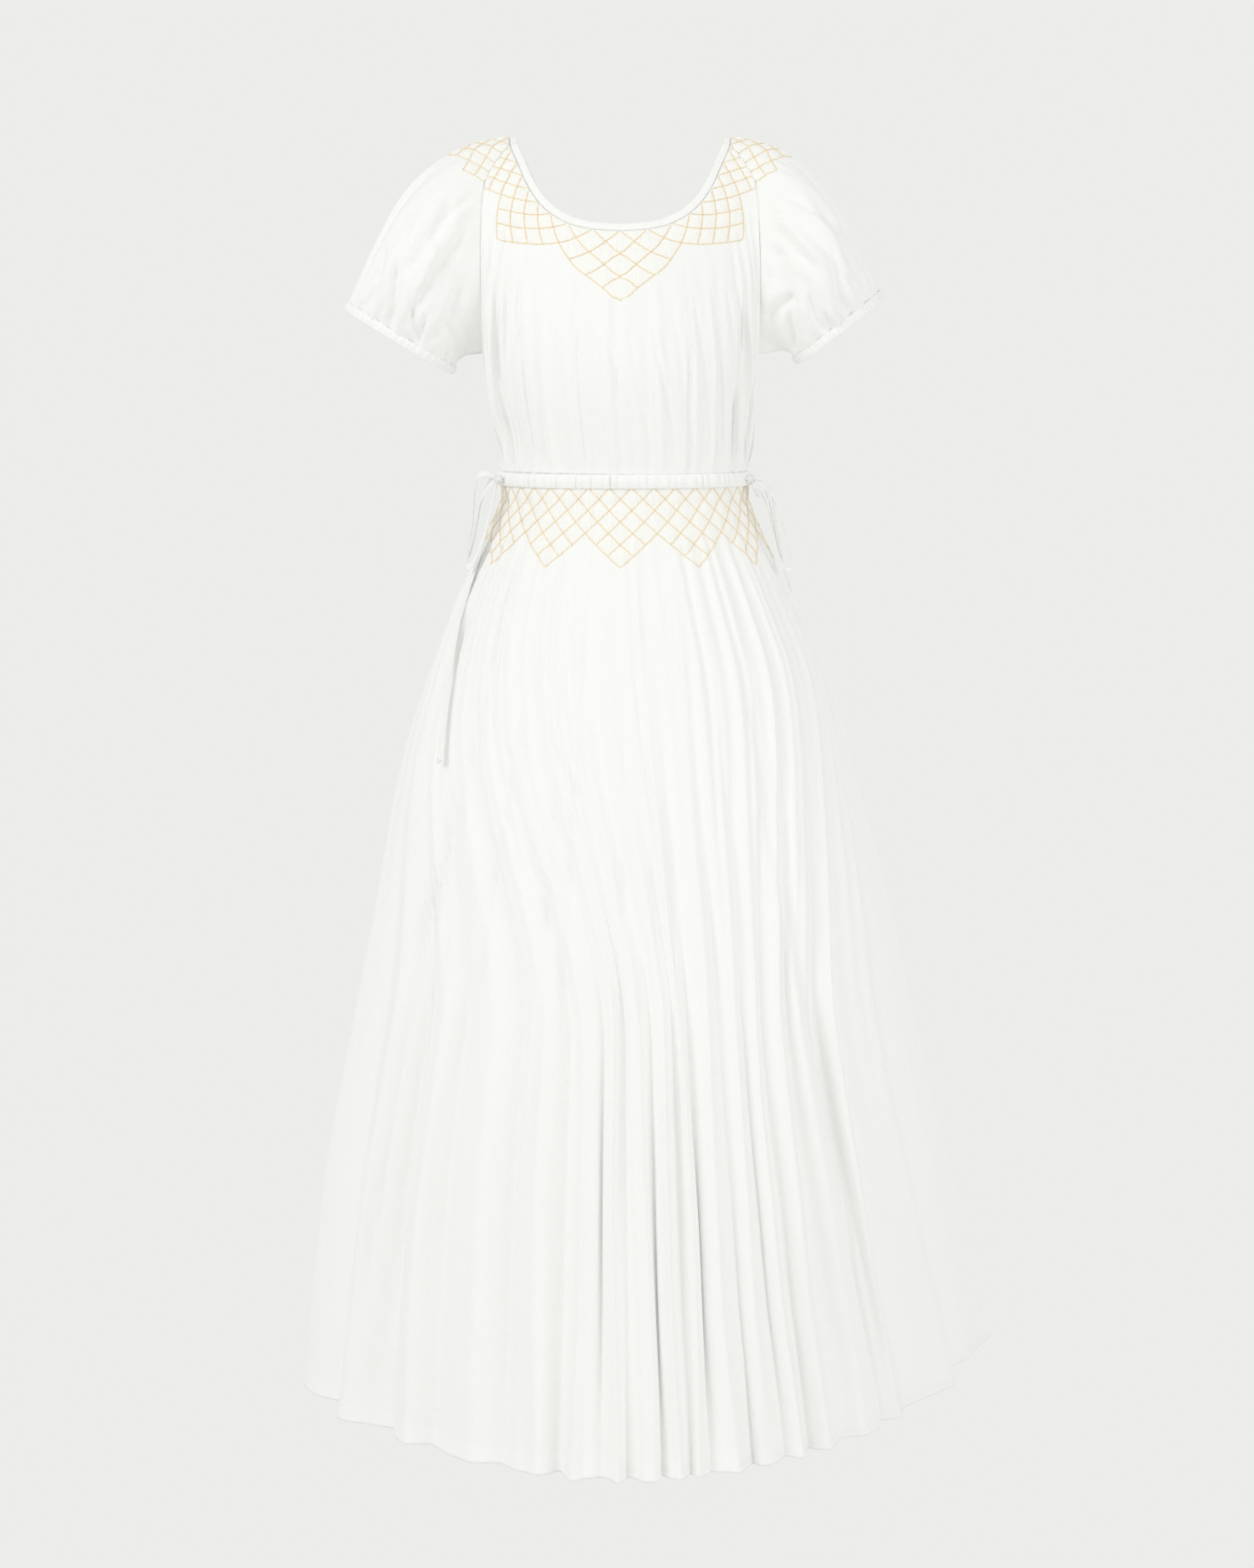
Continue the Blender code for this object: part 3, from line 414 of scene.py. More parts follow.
def diamond_lines(grid, way, along, away, chosen):
    """The stitched lines round the chosen diamonds, on the cloth."""
    near = away < 8
    along, away, points, ways = along[near], away[near], grid[near], way[near]
    lines = []
    for turn in (0, 1):
        for line in sorted({cell[turn] + k for cell in chosen for k in (0, 1)}):
            beside = {cell[1 - turn] for cell in chosen if cell[turn] in (line - 1, line)}
            found, normals, there = [], [], []
            for step in range(min(beside) * CELL_STEPS,
                              (max(beside) + 1) * CELL_STEPS + 1):
                other = step / CELL_STEPS
                pair = (line, other) if turn == 0 else (other, line)
                a, b = (pair[0] + pair[1]) / 2, (pair[0] - pair[1]) / 2
                apart = (along - a) ** 2 + (away - b) ** 2
                weight = np.exp(-apart / (2 * CELL_BLUR**2))
                there.append(b > 0.02 and weight.max() > 0.3
                             and (step // CELL_STEPS in beside
                                  or (step - 1) // CELL_STEPS in beside))
                found.append(weight @ points / max(weight.sum(), 1e-9))
                normals.append(weight @ ways)
            for part in runs(there, 4):
                lines.append((np.array(found[part]), unit(np.array(normals[part]))))
    return lines


def surface(name, points, faces, material, uv=None):
    """An object on an array of points. Cloth has a UV map as well, in metres."""
    mesh = bpy.data.meshes.new(name)
    mesh.from_pydata(points.reshape(-1, 3).tolist(), [], faces)
    if uv is not None:
        layer = mesh.uv_layers.new(name="cloth")
        corners = np.empty(len(mesh.loops), np.int32)
        mesh.loops.foreach_get("vertex_index", corners)
        layer.data.foreach_set("uv", uv.reshape(-1, 2)[corners].astype(np.float32).ravel())
    mesh.materials.append(material)
    mesh.shade_smooth()
    piece = bpy.data.objects.new(name, mesh)
    scene.collection.objects.link(piece)
    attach(piece, "root")
    return piece


def face_out(mesh):
    """Turns the faces of a closed mesh outward."""
    shape = bmesh.new()
    shape.from_mesh(mesh)
    bmesh.ops.recalc_face_normals(shape, faces=shape.faces)
    shape.to_mesh(mesh)
    shape.free()


def cloth(name, grid, material, node, smocked, closed=False):
    """A shell of cloth on a grid of rows and columns, which replaces its CAD node. The
    attribute says where it is smocked."""
    rows, columns = grid.shape[:2]
    index = np.arange(rows * columns).reshape(rows, columns)
    right = np.roll(index, -1, axis=1) if closed else index[:, 1:]
    left = index if closed else index[:, :-1]
    faces = np.stack([left[:-1], left[1:], right[1:], right[:-1]], axis=-1).reshape(-1, 4)
    steps = np.linalg.norm(np.diff(grid, axis=1), axis=-1).mean(axis=0)
    u = np.concatenate([[0], np.cumsum(steps)])
    falls = np.linalg.norm(np.diff(grid, axis=0), axis=-1).mean(axis=1)
    v = np.concatenate([[0], np.cumsum(falls)])
    uv = np.stack(np.broadcast_arrays(u[None], -v[:, None]), axis=-1)
    piece = surface(name, grid, faces.tolist(), material, uv)
    worked = piece.data.attributes.new("smocked", "FLOAT", "POINT")
    worked.data.foreach_set("value", smocked.astype(np.float32).ravel())
    shell = piece.modifiers.new("thickness", "SOLIDIFY")
    shell.thickness = VOILE
    shell.offset = -1
    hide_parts(node)
    return piece


def voile(name, white, doubled):
    """White cotton voile, plain woven and slightly slubbed: matt, soft and a little
    crinkled. Smocked cloth lies double in its pleats, so it is brighter and warmer. Real
    threads are 0.3 mm apart, and are drawn 1.5 mm apart here so that they show."""
    material = bpy.data.materials.new(name)
    material.use_nodes = True
    shader = material.node_tree.nodes["Principled BSDF"]
    shader.inputs["Roughness"].default_value = 0.85
    shader.inputs["Sheen Weight"].default_value = 0.25
    shader.inputs["Sheen Roughness"].default_value = 0.5
    shader.inputs["Specular IOR Level"].default_value = 0.25
    uv = add_node(material, "ShaderNodeUVMap", uv_map="cloth").outputs["UV"]
    worked = add_node(material, "ShaderNodeAttribute", attribute_name="smocked").outputs["Fac"]
    colour = add_node(material, "ShaderNodeMix", {"Factor": worked}, data_type="RGBA")
    colour.inputs["A"].default_value = *linear(white), 1
    colour.inputs["B"].default_value = *linear(doubled), 1
    # Slubs run with the threads, down and across.
    heights = []
    for scale in ((650, 60, 1), (60, 650, 1)):
        turned = add_node(material, "ShaderNodeMapping", {"Vector": uv}, Scale=scale)
        slub = add_node(material, "ShaderNodeTexNoise", {"Vector": turned.outputs[0]},
                        Scale=1.0, Detail=2.0)
        heights.append(slub.outputs[0])
    weave = add_node(material, "ShaderNodeMath", {0: heights[0], 1: heights[1]},
                     operation="ADD")
    turned = add_node(material, "ShaderNodeMapping", {"Vector": uv}, Scale=(85, 26, 1))
    crinkle = add_node(material, "ShaderNodeTexNoise", {"Vector": turned.outputs[0]},
                       Scale=1.0, Detail=4.0, Roughness=0.6, Distortion=0.6)
    fine = add_node(material, "ShaderNodeBump", {"Height": weave.outputs[0]}, Strength=0.25,
                    Distance=0.0006)
    rough = add_node(material, "ShaderNodeBump",
                     {"Height": crinkle.outputs[0], "Normal": fine.outputs[0]},
                     Strength=0.35, Distance=0.004)
    # In smocked cloth the pleats lie side by side, 2.4 mm apart.
    pleat = add_node(material, "ShaderNodeTexWave", {"Vector": uv}, Scale=130.0,
                     Distortion=1.0, bands_direction="X")
    strong = add_node(material, "ShaderNodeMath", {0: pleat.outputs["Fac"], 1: worked},
                      operation="MULTIPLY")
    pleats = add_node(material, "ShaderNodeBump",
                      {"Height": strong.outputs[0], "Normal": rough.outputs[0]},
                      Strength=0.25, Distance=0.001)
    links = material.node_tree.links
    links.new(colour.outputs["Result"], shader.inputs["Base Color"])
    links.new(pleats.outputs[0], shader.inputs["Normal"])
    return material


def stitch_lines(name, lines, material):
    """Stitches along lines over the cloth. Each is a small slanted capsule of thread, and
    a line is a list of points and of the cloth's normals there."""
    length, radius, step = 0.0036, 0.00036, 0.0029
    ring = [(cos(a), sin(a)) for a in circle(5)]
    vertices, faces = [], []
    for number, (points, ways) in enumerate(lines):
        along = np.concatenate([[0], np.cumsum(np.linalg.norm(np.diff(points, axis=0),
                                                              axis=1))])
        count = max(int(along[-1] / step), 1)
        for i in range(count):
            at = (i + 0.5) * along[-1] / count
            centre = np.array([np.interp(at, along, points[:, k]) for k in range(3)])
            way = unit(np.array([np.interp(at, along, ways[:, k]) for k in range(3)]))
            ahead = np.array([np.interp(at + 1e-3, along, points[:, k]) for k in range(3)]) - \
                np.array([np.interp(at - 1e-3, along, points[:, k]) for k in range(3)])
            ahead = unit(ahead - way * (ahead @ way))
            side = np.cross(way, ahead)
            slant = unit(ahead + side * (0.32 if i % 2 else 0.20))
            side = np.cross(way, slant)
            centre = centre + way * (radius * 0.9) + side * (0.0002 * sin(3.7 * i + number))
            start = len(vertices)
            vertices.append(centre - slant * length / 2 - way * radius * 0.5)
            for share in (-0.3, 0.3):
                for x, y in ring:
                    vertices.append(centre + slant * length * share
                                    + (side * x + way * y) * radius)
            vertices.append(centre + slant * length / 2 - way * radius * 0.5)
            for k in range(5):
                n = (k + 1) % 5
                faces += [(start, start + 1 + n, start + 1 + k),
                          (start + 1 + k, start + 1 + n, start + 6 + n, start + 6 + k),
                          (start + 6 + k, start + 6 + n, start + 11)]
    return surface(name, np.array(vertices), faces, material)


def on_grid(grid, way, rows, columns):
    """Points and normals of a grid at fractions of its rows and columns."""
    found = []
    for layer in (grid, way):
        r = np.clip(rows, 0, layer.shape[0] - 1.001)
        c = np.clip(columns, 0, layer.shape[1] - 1.001)
        r0, c0 = r.astype(int), c.astype(int)
        fr, fc = (r - r0)[:, None], (c - c0)[:, None]
        found.append(layer[r0, c0] * (1 - fr) * (1 - fc) + layer[r0 + 1, c0] * fr * (1 - fc)
                     + layer[r0, c0 + 1] * (1 - fr) * fc + layer[r0 + 1, c0 + 1] * fr * fc)
    return found[0], unit(found[1])


def runs(wanted, least=6):
    """The stretches of a list of yes and no that are yes for at least a few places."""
    found, start = [], None
    for i, yes in enumerate(list(wanted) + [False]):
        if yes and start is None:
            start = i
        elif not yes and start is not None:
            if i - start >= least:
                found.append(slice(start, i))
            start = None
    return found


white_voile = voile("white_cotton_voile", "#FBFBFA", "#FEFDFA")
smocking_thread = bpy.data.materials.new("pale_yellow_cotton_thread")
smocking_thread.use_nodes = True
thread = smocking_thread.node_tree.nodes["Principled BSDF"]
thread.inputs["Roughness"].default_value = 0.6
thread.inputs["Sheen Weight"].default_value = 0.2
at = add_node(smocking_thread, "ShaderNodeTexCoord").outputs["Object"]
dye = add_node(smocking_thread, "ShaderNodeTexNoise", {"Vector": at}, Scale=90.0)
shade = add_node(smocking_thread, "ShaderNodeMix", {"Factor": dye.outputs[0]},
                 data_type="RGBA")
shade.inputs["A"].default_value = *linear("#F8D793"), 1
shade.inputs["B"].default_value = *linear("#FCE7B6"), 1
smocking_thread.node_tree.links.new(shade.outputs["Result"], thread.inputs["Base Color"])

BODICE_COLUMNS = 240
bodices = {}
for side, creases in (("front", FRONT_CREASES), ("back", BACK_CREASES)):
    grid, place, row = bodice_form(side, BODICE_COLUMNS)
    bodices[side] = grid.copy()
    turn = 1 if side == "front" else -1
    along, away = cells_from_neck(grid, ((side, -turn), (side, turn)), True)
    low_edge = np.interp(grid[..., 0] * turn, YOKE["across"], YOKE["level"], -0.06, -0.06)
    wanted = np.where(abs(along) < 1.4, away < 3 - abs(along), grid[..., 2] > low_edge)
    chosen, inside = whole_cells(along, away, wanted & (away < 5))
    way = outward(grid)
    relief = np.where(inside, SMOCK_RAISE * diamonds(along, away), 0) * ease(away, 0, 0.25)
    plain = pressed(grid, way, creases, turn)
    # The folds are strongest towards the sides.
    plain = (1.5 + 1.1 * ease(abs(place), 0.45, 0.75)) * plain * (1 - inside)
    plain = plain * ease(row, 1.5, 4) * ease(1 - abs(place), 0, 0.05)
    grid = grid + way * (relief + plain)[..., None]
    piece = cloth("bodice_" + side + "_cloth", grid, white_voile, "bodice_" + side,
                  inside.astype(float))
    lines = diamond_lines(grid, outward(grid), along, away, chosen)
    threads = stitch_lines("neck_smocking_" + side, lines, smocking_thread)


# Sleeves. Two short puff sleeves, cut wide, run up over the shoulder to the neck, where
# their heads are smocked as well. Elastic in a narrow cuff draws each one in.
CUFFS = {
    "left": dict(outer=(-0.2956, -0.1781), inner=(-0.1804, -0.2477), depth=0.105),
    "right": dict(outer=(0.2830, -0.1651), inner=(0.1898, -0.2373), depth=0.105),
}
NECK_COLUMNS = 6
SLEEVE_OUT = 1.4
SLEEVE_PUFF = 0.85
CUFF_PULL = 0.85
SLEEVE_GATHER = 0.0026
SLEEVE_LINES = 90
SLEEVE_CREASES = {
    "left": dict(
        from_x=[-146, -150, -175, -220, -252, -238, -195, -168, -208, -240, -222, -188,
                -258, -205],
        from_z=[-50, -75, -62, -70, -112, -135, -130, -150, -185, -175, -160, -200, -150,
                -105],
        to_x=[-190, -200, -232, -248, -272, -250, -232, -205, -222, -246, -216, -176, -280,
              -212],
        to_z=[-92, -150, -150, -165, -185, -205, -205, -222, -228, -212, -222, -238, -180,
              -165],
        bow=[3, 5, 6, 4, 3, 3, 5, 6, 3, 2, -3, 3, 2, 8],
        depth=[3.5, 4.5, 4.0, 3.5, 4.0, 4.5, 4.5, 5.0, 3.0, 2.5, 3.0, 3.0, -3.0, -4.0],
        width=[4, 7, 7, 6, 5, 5, 6, 6, 3.5, 3.5, 3.5, 4, 6, 8],
    ),
    "right": dict(
        from_x=[148, 156, 160, 170, 222, 240, 188, 200, 215, 178, 232, 252, 200, 230],
        from_z=[-60, -75, -110, -62, -120, -150, -170, -165, -185, -185, -90, -140, -80,
                -170],
        to_x=[215, 228, 185, 240, 236, 262, 160, 222, 232, 190, 262, 268, 240, 252],
        to_z=[-150, -140, -200, -110, -205, -180, -202, -212, -222, -230, -140, -175, -125,
              -200],
        bow=[-6, -4, 5, 4, 4, 3, -4, -3, 3, 2, 4, 2, 5, 3],
        depth=[5.5, -4.0, 5.0, 3.5, 4.5, 3.0, 7.0, 4.5, 3.0, 3.5, 3.0, -3.0, -3.0, 2.5],
        width=[6, 8, 7, 6, 5, 4, 8, 4, 3.5, 4, 6, 6, 8, 3.5],
    ),
}


def sleeve_form(name):
    """Rows from the armhole to the cuff, columns round from the underarm over the front."""
    sign = -1 if name == "left" else 1
    first = 0 if name == "left" else -1
    edge = UNDERARM_ROW * FINE_ROWS + 1
    front_edge = bodices["front"][:edge, first][::-1]
    back_edge = bodices["back"][:edge, -1 - first]
    step = np.linspace(NECK_CORNER, NECK_CORNER + 2, NECK_COLUMNS * FINE_ROWS + 1)[1:-1]
    row = np.minimum(step, 2 * (NECK_CORNER + 1) - step)
    before = step < NECK_CORNER + 1
    over = np.stack([sign * smooth(NECK, "across", row, "row"),
                     np.where(before, -smooth(NECK, "front", row, "row"),
                              smooth(NECK, "back", row, "row")),
                     smooth(NECK, "level", row, "row")], axis=-1)
    loop = np.concatenate([front_edge, over, back_edge[:-1]])
    outer, inner = (np.array([x, 0, z]) for x, z in (CUFFS[name]["outer"],
                                                     CUFFS[name]["inner"]))
    middle = (outer + inner) / 2
    axis = np.cross(unit(outer - inner), [0, 1, 0]) * -sign
    lengths = np.linalg.norm(np.roll(loop, -1, axis=0) - loop, axis=1)
    angle = 2 * pi * np.concatenate([[0], np.cumsum(lengths)[:-1]]) / lengths.sum()
    end = (middle - (outer - inner) / 2 * np.cos(angle)[:, None]
           - np.array([0, CUFFS[name]["depth"] / 2, 0]) * np.sin(angle)[:, None])
    length = np.linalg.norm(end - loop, axis=1)[:, None]
    puff = SLEEVE_PUFF * np.sin(angle)[:, None] * np.array([0, 1, 0])
    leave = (np.array([sign * SLEEVE_OUT, 0, -0.08]) - puff) * length
    arrive = (axis + puff) * CUFF_PULL * length
    t = np.linspace(0, 1, SLEEVE_LINES + 1)[:, None, None]
    grid = curve(t, loop, leave, end, arrive)
    if name == "left":
        grid = np.roll(grid[:, ::-1], 1, axis=1)
    return grid, axis, middle


cuff_planes = {}
sleeve_grids = {}
for hand in CUFFS:
    grid, axis, middle = sleeve_form(hand)
    cuff_planes[hand] = axis, middle
    sleeve_grids[hand] = grid.copy()
    way = outward(grid, closed=True)
    t = np.linspace(0, 1, SLEEVE_LINES + 1)[:, None]
    column = np.arange(grid.shape[1])[None] / FINE_ROWS
    wave = -np.cos(pi * column) * uneven(column // 2, 0.5, 1.0)
    grid = grid + way * (SLEEVE_GATHER * wave * ease(t, 0.15, 0.5)
                         * (1 - 0.7 * ease(t, 0.9, 1.0)))[..., None]
    # Short gathers crowd against the cuff and, more softly, against the armhole.
    crowd = np.sin(column * 5.7 + 2 * np.sin(column * 1.3)) * uneven(column // 1, 0.3, 1.0)
    shift = 0.0016 * crowd * ease(t, 0.72, 0.93) + 0.0008 * crowd * ease(t, 0.02, 0.08) * (
        1 - ease(t, 0.12, 0.35))
    way = outward(grid, closed=True)
    quiet = ease(t, 0.02, 0.15) * (1 - ease(t, 0.93, 1.0))
    creases = SLEEVE_CREASES[hand]
    shift = shift + quiet * (1.5 * pressed(grid, way, creases, 1)
                             + 1.2 * pressed(grid + [0.006, 0, 0.008], way, creases, -1))
    # The head's smocking goes on from the bodice's, along the neck and over the shoulder.
    sign = -1 if hand == "left" else 1
    along, away = cells_from_neck(grid, (("front", sign), ("back", sign)), False)
    chosen, inside = whole_cells(along, away, away < 3.2 - 0.3 * abs(along))
    relief = np.where(inside, SMOCK_RAISE * diamonds(along, away), 0) * ease(away, 0, 0.25)
    grid = grid + way * (shift * (1 - inside) + relief)[..., None]
    piece = cloth("sleeve_" + hand + "_cloth", grid, white_voile, "sleeve_" + hand,
                  inside.astype(float), closed=True)
    lines = diamond_lines(grid, outward(grid, closed=True), along, away, chosen)
    threads = stitch_lines("sleeve_smocking_" + hand, lines, smocking_thread)


# Skirt. Two wide panels, joined at the sides, are smocked below the waist into a zigzag
# edge and open from there into deep folds. The hem is turned up narrowly.
CASING_HEIGHT = 0.0125
SKIRT_TOP = WAIST - CASING_HEIGHT - 2 * SEAM_GAP
HEM_LEVEL = -1.390
HEM_TURN = 0.006
SKIRT = dict(
    level=[-0.391, -0.44, -0.50, -0.575, -0.65, -0.72, -0.794, -0.868, -0.943, -1.04,
           -1.1355, -1.2246, -1.30, HEM_LEVEL],
    left=[0.1303, 0.152, 0.180, 0.2080, 0.233, 0.2500, 0.2630, 0.2760, 0.2905, 0.3095,
          0.3275, 0.3385, 0.3480, 0.3575],
    right=[0.1403, 0.161, 0.190, 0.2270, 0.249, 0.2665, 0.2870, 0.3050, 0.3210, 0.3430,
           0.3680, 0.3890, 0.4115, 0.4340],
    front=[0.096, 0.110, 0.134, 0.158, 0.182, 0.204, 0.224, 0.243, 0.261, 0.280,
           0.296, 0.310, 0.322, 0.334],
    back=[0.091, 0.110, 0.135, 0.159, 0.182, 0.203, 0.222, 0.240, 0.257, 0.275,
          0.291, 0.305, 0.316, 0.327],
    behind=[0.0, 0.0, 0.0, 0.0, 0.0, 0.0, 0.0, 0.005, 0.015, 0.035,
            0.065, 0.110, 0.160, 0.200],
)
HEM_ROUND_LEFT = 1.6
HEM_ROUND_RIGHT = 2.0
SMOCK_ROW = 0.012
SMOCK_ROWS = 7
FRONT_FOLDS = dict(
    angle=[-90, -64, -46, -35.5, -21, -10.7, -3.4, 1, 5.9, 10, 12.9, 19.2, 24, 28.2, 33.8,
           41.6, 47.1, 64.4],
    valley=[0.010, 0.024, 0.025, 0.016, 0.018, 0.024, 0.018, 0.012, 0.020, 0.012, 0.020,
            0.014, 0.014, 0.016, 0.018, 0.020, 0.018, 0.024],
)
BACK_FOLDS = dict(
    angle=[90, 108, 121, 131, 145, 152, 160, 168, 173, 181, 188, 193, 200, 209, 216, 226,
           238, 252],
    valley=[0.010, 0.022, 0.018, 0.024, 0.015, 0.014, 0.020, 0.013, 0.018, 0.014, 0.021,
            0.013, 0.016, 0.020, 0.014, 0.022, 0.018, 0.024],
)
RIDGE_SHARE = 0.35
VALLEY_SHARE = 0.5  # of the solid's depth: the cloth hangs flatter in the photograph
FOLD_START = -0.47
FOLD_FULL = -1.20
FINE_COLUMNS = 6  # points between two columns of the solid
FOLD_COLUMNS = 3  # of the solid's columns in one fold
PANEL_COLUMNS = FOLD_COLUMNS * len(FRONT_FOLDS["angle"])
HIP_DEPTH = 3.5  # diamonds, at a low point


def skirt_section(level, angle):
    """Points of the skirt's outline, and the way out of it, at angles from the front."""
    right = np.sin(angle) > 0
    across = np.where(right, smooth(SKIRT, "right", level), smooth(SKIRT, "left", level))
    deep = np.where(np.cos(angle) > 0, smooth(SKIRT, "front", level),
                    smooth(SKIRT, "back", level))
    hem_round = np.where(right, HEM_ROUND_RIGHT, HEM_ROUND_LEFT)
    power = BODY_ROUND + (hem_round - BODY_ROUND) * ease(-level, -SKIRT_TOP, -HEM_LEVEL)
    forward = np.maximum(1 - abs(np.sin(angle)) ** power, 0) ** (1 / power)
    behind = smooth(SKIRT, "behind", level) * np.maximum(np.sin(angle), 0) ** 2
    point = np.stack([across * np.sin(angle),
                      behind - deep * forward * np.sign(np.cos(angle)),
                      level + 0 * angle], axis=-1)
    return point, unit(np.stack([np.sin(angle) / across, -np.cos(angle) / deep, 0 * deep],
                                axis=-1))


def hip_edge(across):
    """How many diamonds deep the hip smocking is, along its zigzag of six low points."""
    return HIP_DEPTH - abs((across + 1.5) % 3 - 1.5)


folds = [FRONT_FOLDS["angle"] + [90], BACK_FOLDS["angle"] + [270]]
valleys = np.array(FRONT_FOLDS["valley"] + BACK_FOLDS["valley"])
hem_edges = np.radians(folds[0] + folds[1][1:])
half = PANEL_COLUMNS * FINE_COLUMNS
column = np.arange(2 * half) / FINE_COLUMNS
fold = (column // FOLD_COLUMNS).astype(int)
place = column / FOLD_COLUMNS - fold
hem_angle = hem_edges[fold] + (hem_edges[fold + 1] - hem_edges[fold]) * place
even_angle = pi * column / PANEL_COLUMNS - pi / 2
levels = np.concatenate([np.linspace(SKIRT_TOP, SKIRT_TOP - SMOCK_ROWS * SMOCK_ROW, 29),
                         np.linspace(SKIRT_TOP - SMOCK_ROWS * SMOCK_ROW, -1.18, 56)[1:],
                         np.linspace(-1.18, HEM_LEVEL + HEM_TURN, 14)[1:],
                         [HEM_LEVEL + HEM_TURN - 0.0008, HEM_LEVEL + 0.002, HEM_LEVEL]])
level = levels[:, None]
angle = even_angle + (hem_angle - even_angle) * ease(-level, -FOLD_START, 0.95)
# A valley is narrow and a ridge broad. Each fold wanders a little on its way down.
next_valley = valleys[(fold + 1) % len(valleys)]
beside = np.maximum(valleys[fold], next_valley)
sharp = np.where(place < 0.5, valleys[fold], next_valley)
near = np.minimum(place, 1 - place)
rise = ease(near, 0, 0.46) ** 0.8
shift = -VALLEY_SHARE * sharp * (1 - rise) + RIDGE_SHARE * beside * rise
shift = shift + 0.10 * beside * np.sin(2 * pi * (2 * place + uneven(fold, 0, 1))) * rise
grown = ease(-level, -FOLD_START, -FOLD_FULL)
wandering = column + 0.4 * np.sin(column * 0.67) + 0.25 * np.sin(column * 1.83)
wave = -np.cos(pi * wandering) * uneven(column // 2, 0.25, 1.0)
gather = GATHER * wave * ease(-level, -SKIRT_TOP + 0.03, 0.47) * (1 - ease(-level, 0.55, 1.0))
small = np.sin(column * 4.4 + 2.5 * np.sin(column * 0.9)) * uneven(column // 3, 0.3, 1.0)
gather = gather + 0.0011 * small * ease(-level, 0.44, 0.50) * (1 - ease(-level, 0.7, 1.25))
angle = angle + 0.012 * np.sin(7 * level + uneven(fold, 0, 6)) * grown * ease(near, 0, 0.2)
skirt, out = skirt_section(level, angle)
skirt = skirt + out * (shift * grown + gather)[..., None]
# The last centimetres of the hem swing a little in and out.
skirt[..., :2] += (out * (0.0025 * np.sin(column * 2.1 + 5 * np.sin(column * 0.37))
                          * ease(-level, 1.25, 1.39))[..., None])[..., :2]

across = column[None] / FOLD_COLUMNS
down = (SKIRT_TOP - level) / SMOCK_ROW / 2
hip = (down <= hip_edge(across)) & (down > 0)
relief = np.where(hip, SMOCK_RAISE * diamonds(across + 0.5, down), 0) * ease(down, 0, 0.2)
relief = relief + 0.0007 * (level < HEM_LEVEL + HEM_TURN - 0.0004)
skirt = skirt + outward(skirt, closed=True) * relief[..., None]
around = outward(skirt, closed=True)

SKIRT_CREASES = {
    "front": dict(
        from_x=[-120, -150, -88, -60, -30, 5, 22, 48, 70, 95, 125, 150, -170, 180, -210, 35,
                205, -240],
        from_z=[-470, -540, -500, -520, -480, -560, -490, -600, -470, -500, -480, -560,
                -700, -760, -800, -1000, -900, -1000],
        to_x=[-225, -250, -175, -100, -62, -4, 52, 66, 110, 165, 205, 245, -262, 290, -300,
              52, 285, -318],
        to_z=[-900, -1050, -1000, -1100, -950, -1200, -1000, -1300, -950, -1100, -950,
              -1150, -1340, -1340, -1350, -1385, -1300, -1385],
        bow=[8, 6, 5, 4, -3, 2, -4, 2, -5, -6, -8, -8, 6, -8, 5, 2, -4, 4],
        depth=[4.0, 5.0, 3.5, 3.0, 3.0, 3.5, 3.0, 4.5, 3.5, 3.5, 4.0, 4.5, 5.0, 5.0, 4.0,
               3.0, 4.0, 4.0],
        width=[6, 8, 6, 5, 5, 6, 5, 5, 5, 6, 6, 8, 8, 9, 8, 5, 7, 8],
    ),
    "back": dict(
        from_x=[-125, -96, -70, -40, -12, 20, 46, 80, 110, 140, -160, 172, 60, -190],
        from_z=[-480, -520, -490, -560, -500, -520, -480, -560, -500, -520, -700, -720,
                -900, -900],
        to_x=[-230, -185, -120, -84, -30, 44, 90, 150, 190, 240, -255, 285, 110, -290],
        to_z=[-950, -1050, -950, -1200, -1000, -1200, -950, -1150, -1000, -1100, -1340,
              -1340, -1385, -1380],
        bow=[6, -5, 4, 3, -4, 3, -3, 5, -6, -5, 6, -8, 3, 5],
        depth=[4.0, 4.5, 3.0, 4.0, 3.0, 3.5, 3.0, 4.5, 3.5, 4.5, 5.0, 5.0, 4.0, 4.0],
        width=[7, 7, 5, 6, 5, 6, 5, 7, 6, 8, 8, 9, 7, 8],
    ),
}
for side, first in (("front", 0), ("back", half)):
    columns = np.arange(first, first + half + 1) % (2 * half)
    grid, way = skirt[:, columns], around[:, columns]
    edge = ease(np.arange(half + 1), 0, 10) * ease(half - np.arange(half + 1), 0, 10)
    moved = pressed(grid, way, SKIRT_CREASES[side], 1 if side == "front" else -1)
    moved = moved * (1 - hip[:, columns]) * edge * (1 - ease(-level, 1.36, 1.384))
    grid = grid + way * moved[..., None]
    piece = cloth("skirt_" + side + "_cloth", grid, white_voile, "skirt_" + side,
                  hip[:, columns].astype(float))
    lines = []
    for line in range(-5, 25):
        for turn in (1, -1):
            fine_down = np.linspace(0.05, HIP_DEPTH, 200)
            fine_across = line + 0.5 - turn * fine_down
            fits = (fine_down <= hip_edge(fine_across) + 0.02) & (fine_across > 0.02)
            fits = fits & (fine_across < PANEL_COLUMNS / FOLD_COLUMNS - 0.02)
            for part in runs(fits):
                fall = fine_down[part] * 2 * SMOCK_ROW
                lines.append(on_grid(grid, way, np.interp(fall, SKIRT_TOP - levels,
                                                          np.arange(len(levels))),
                                     fine_across[part] * FOLD_COLUMNS * FINE_COLUMNS))
    threads = stitch_lines("hip_smocking_" + side, lines, smocking_thread)


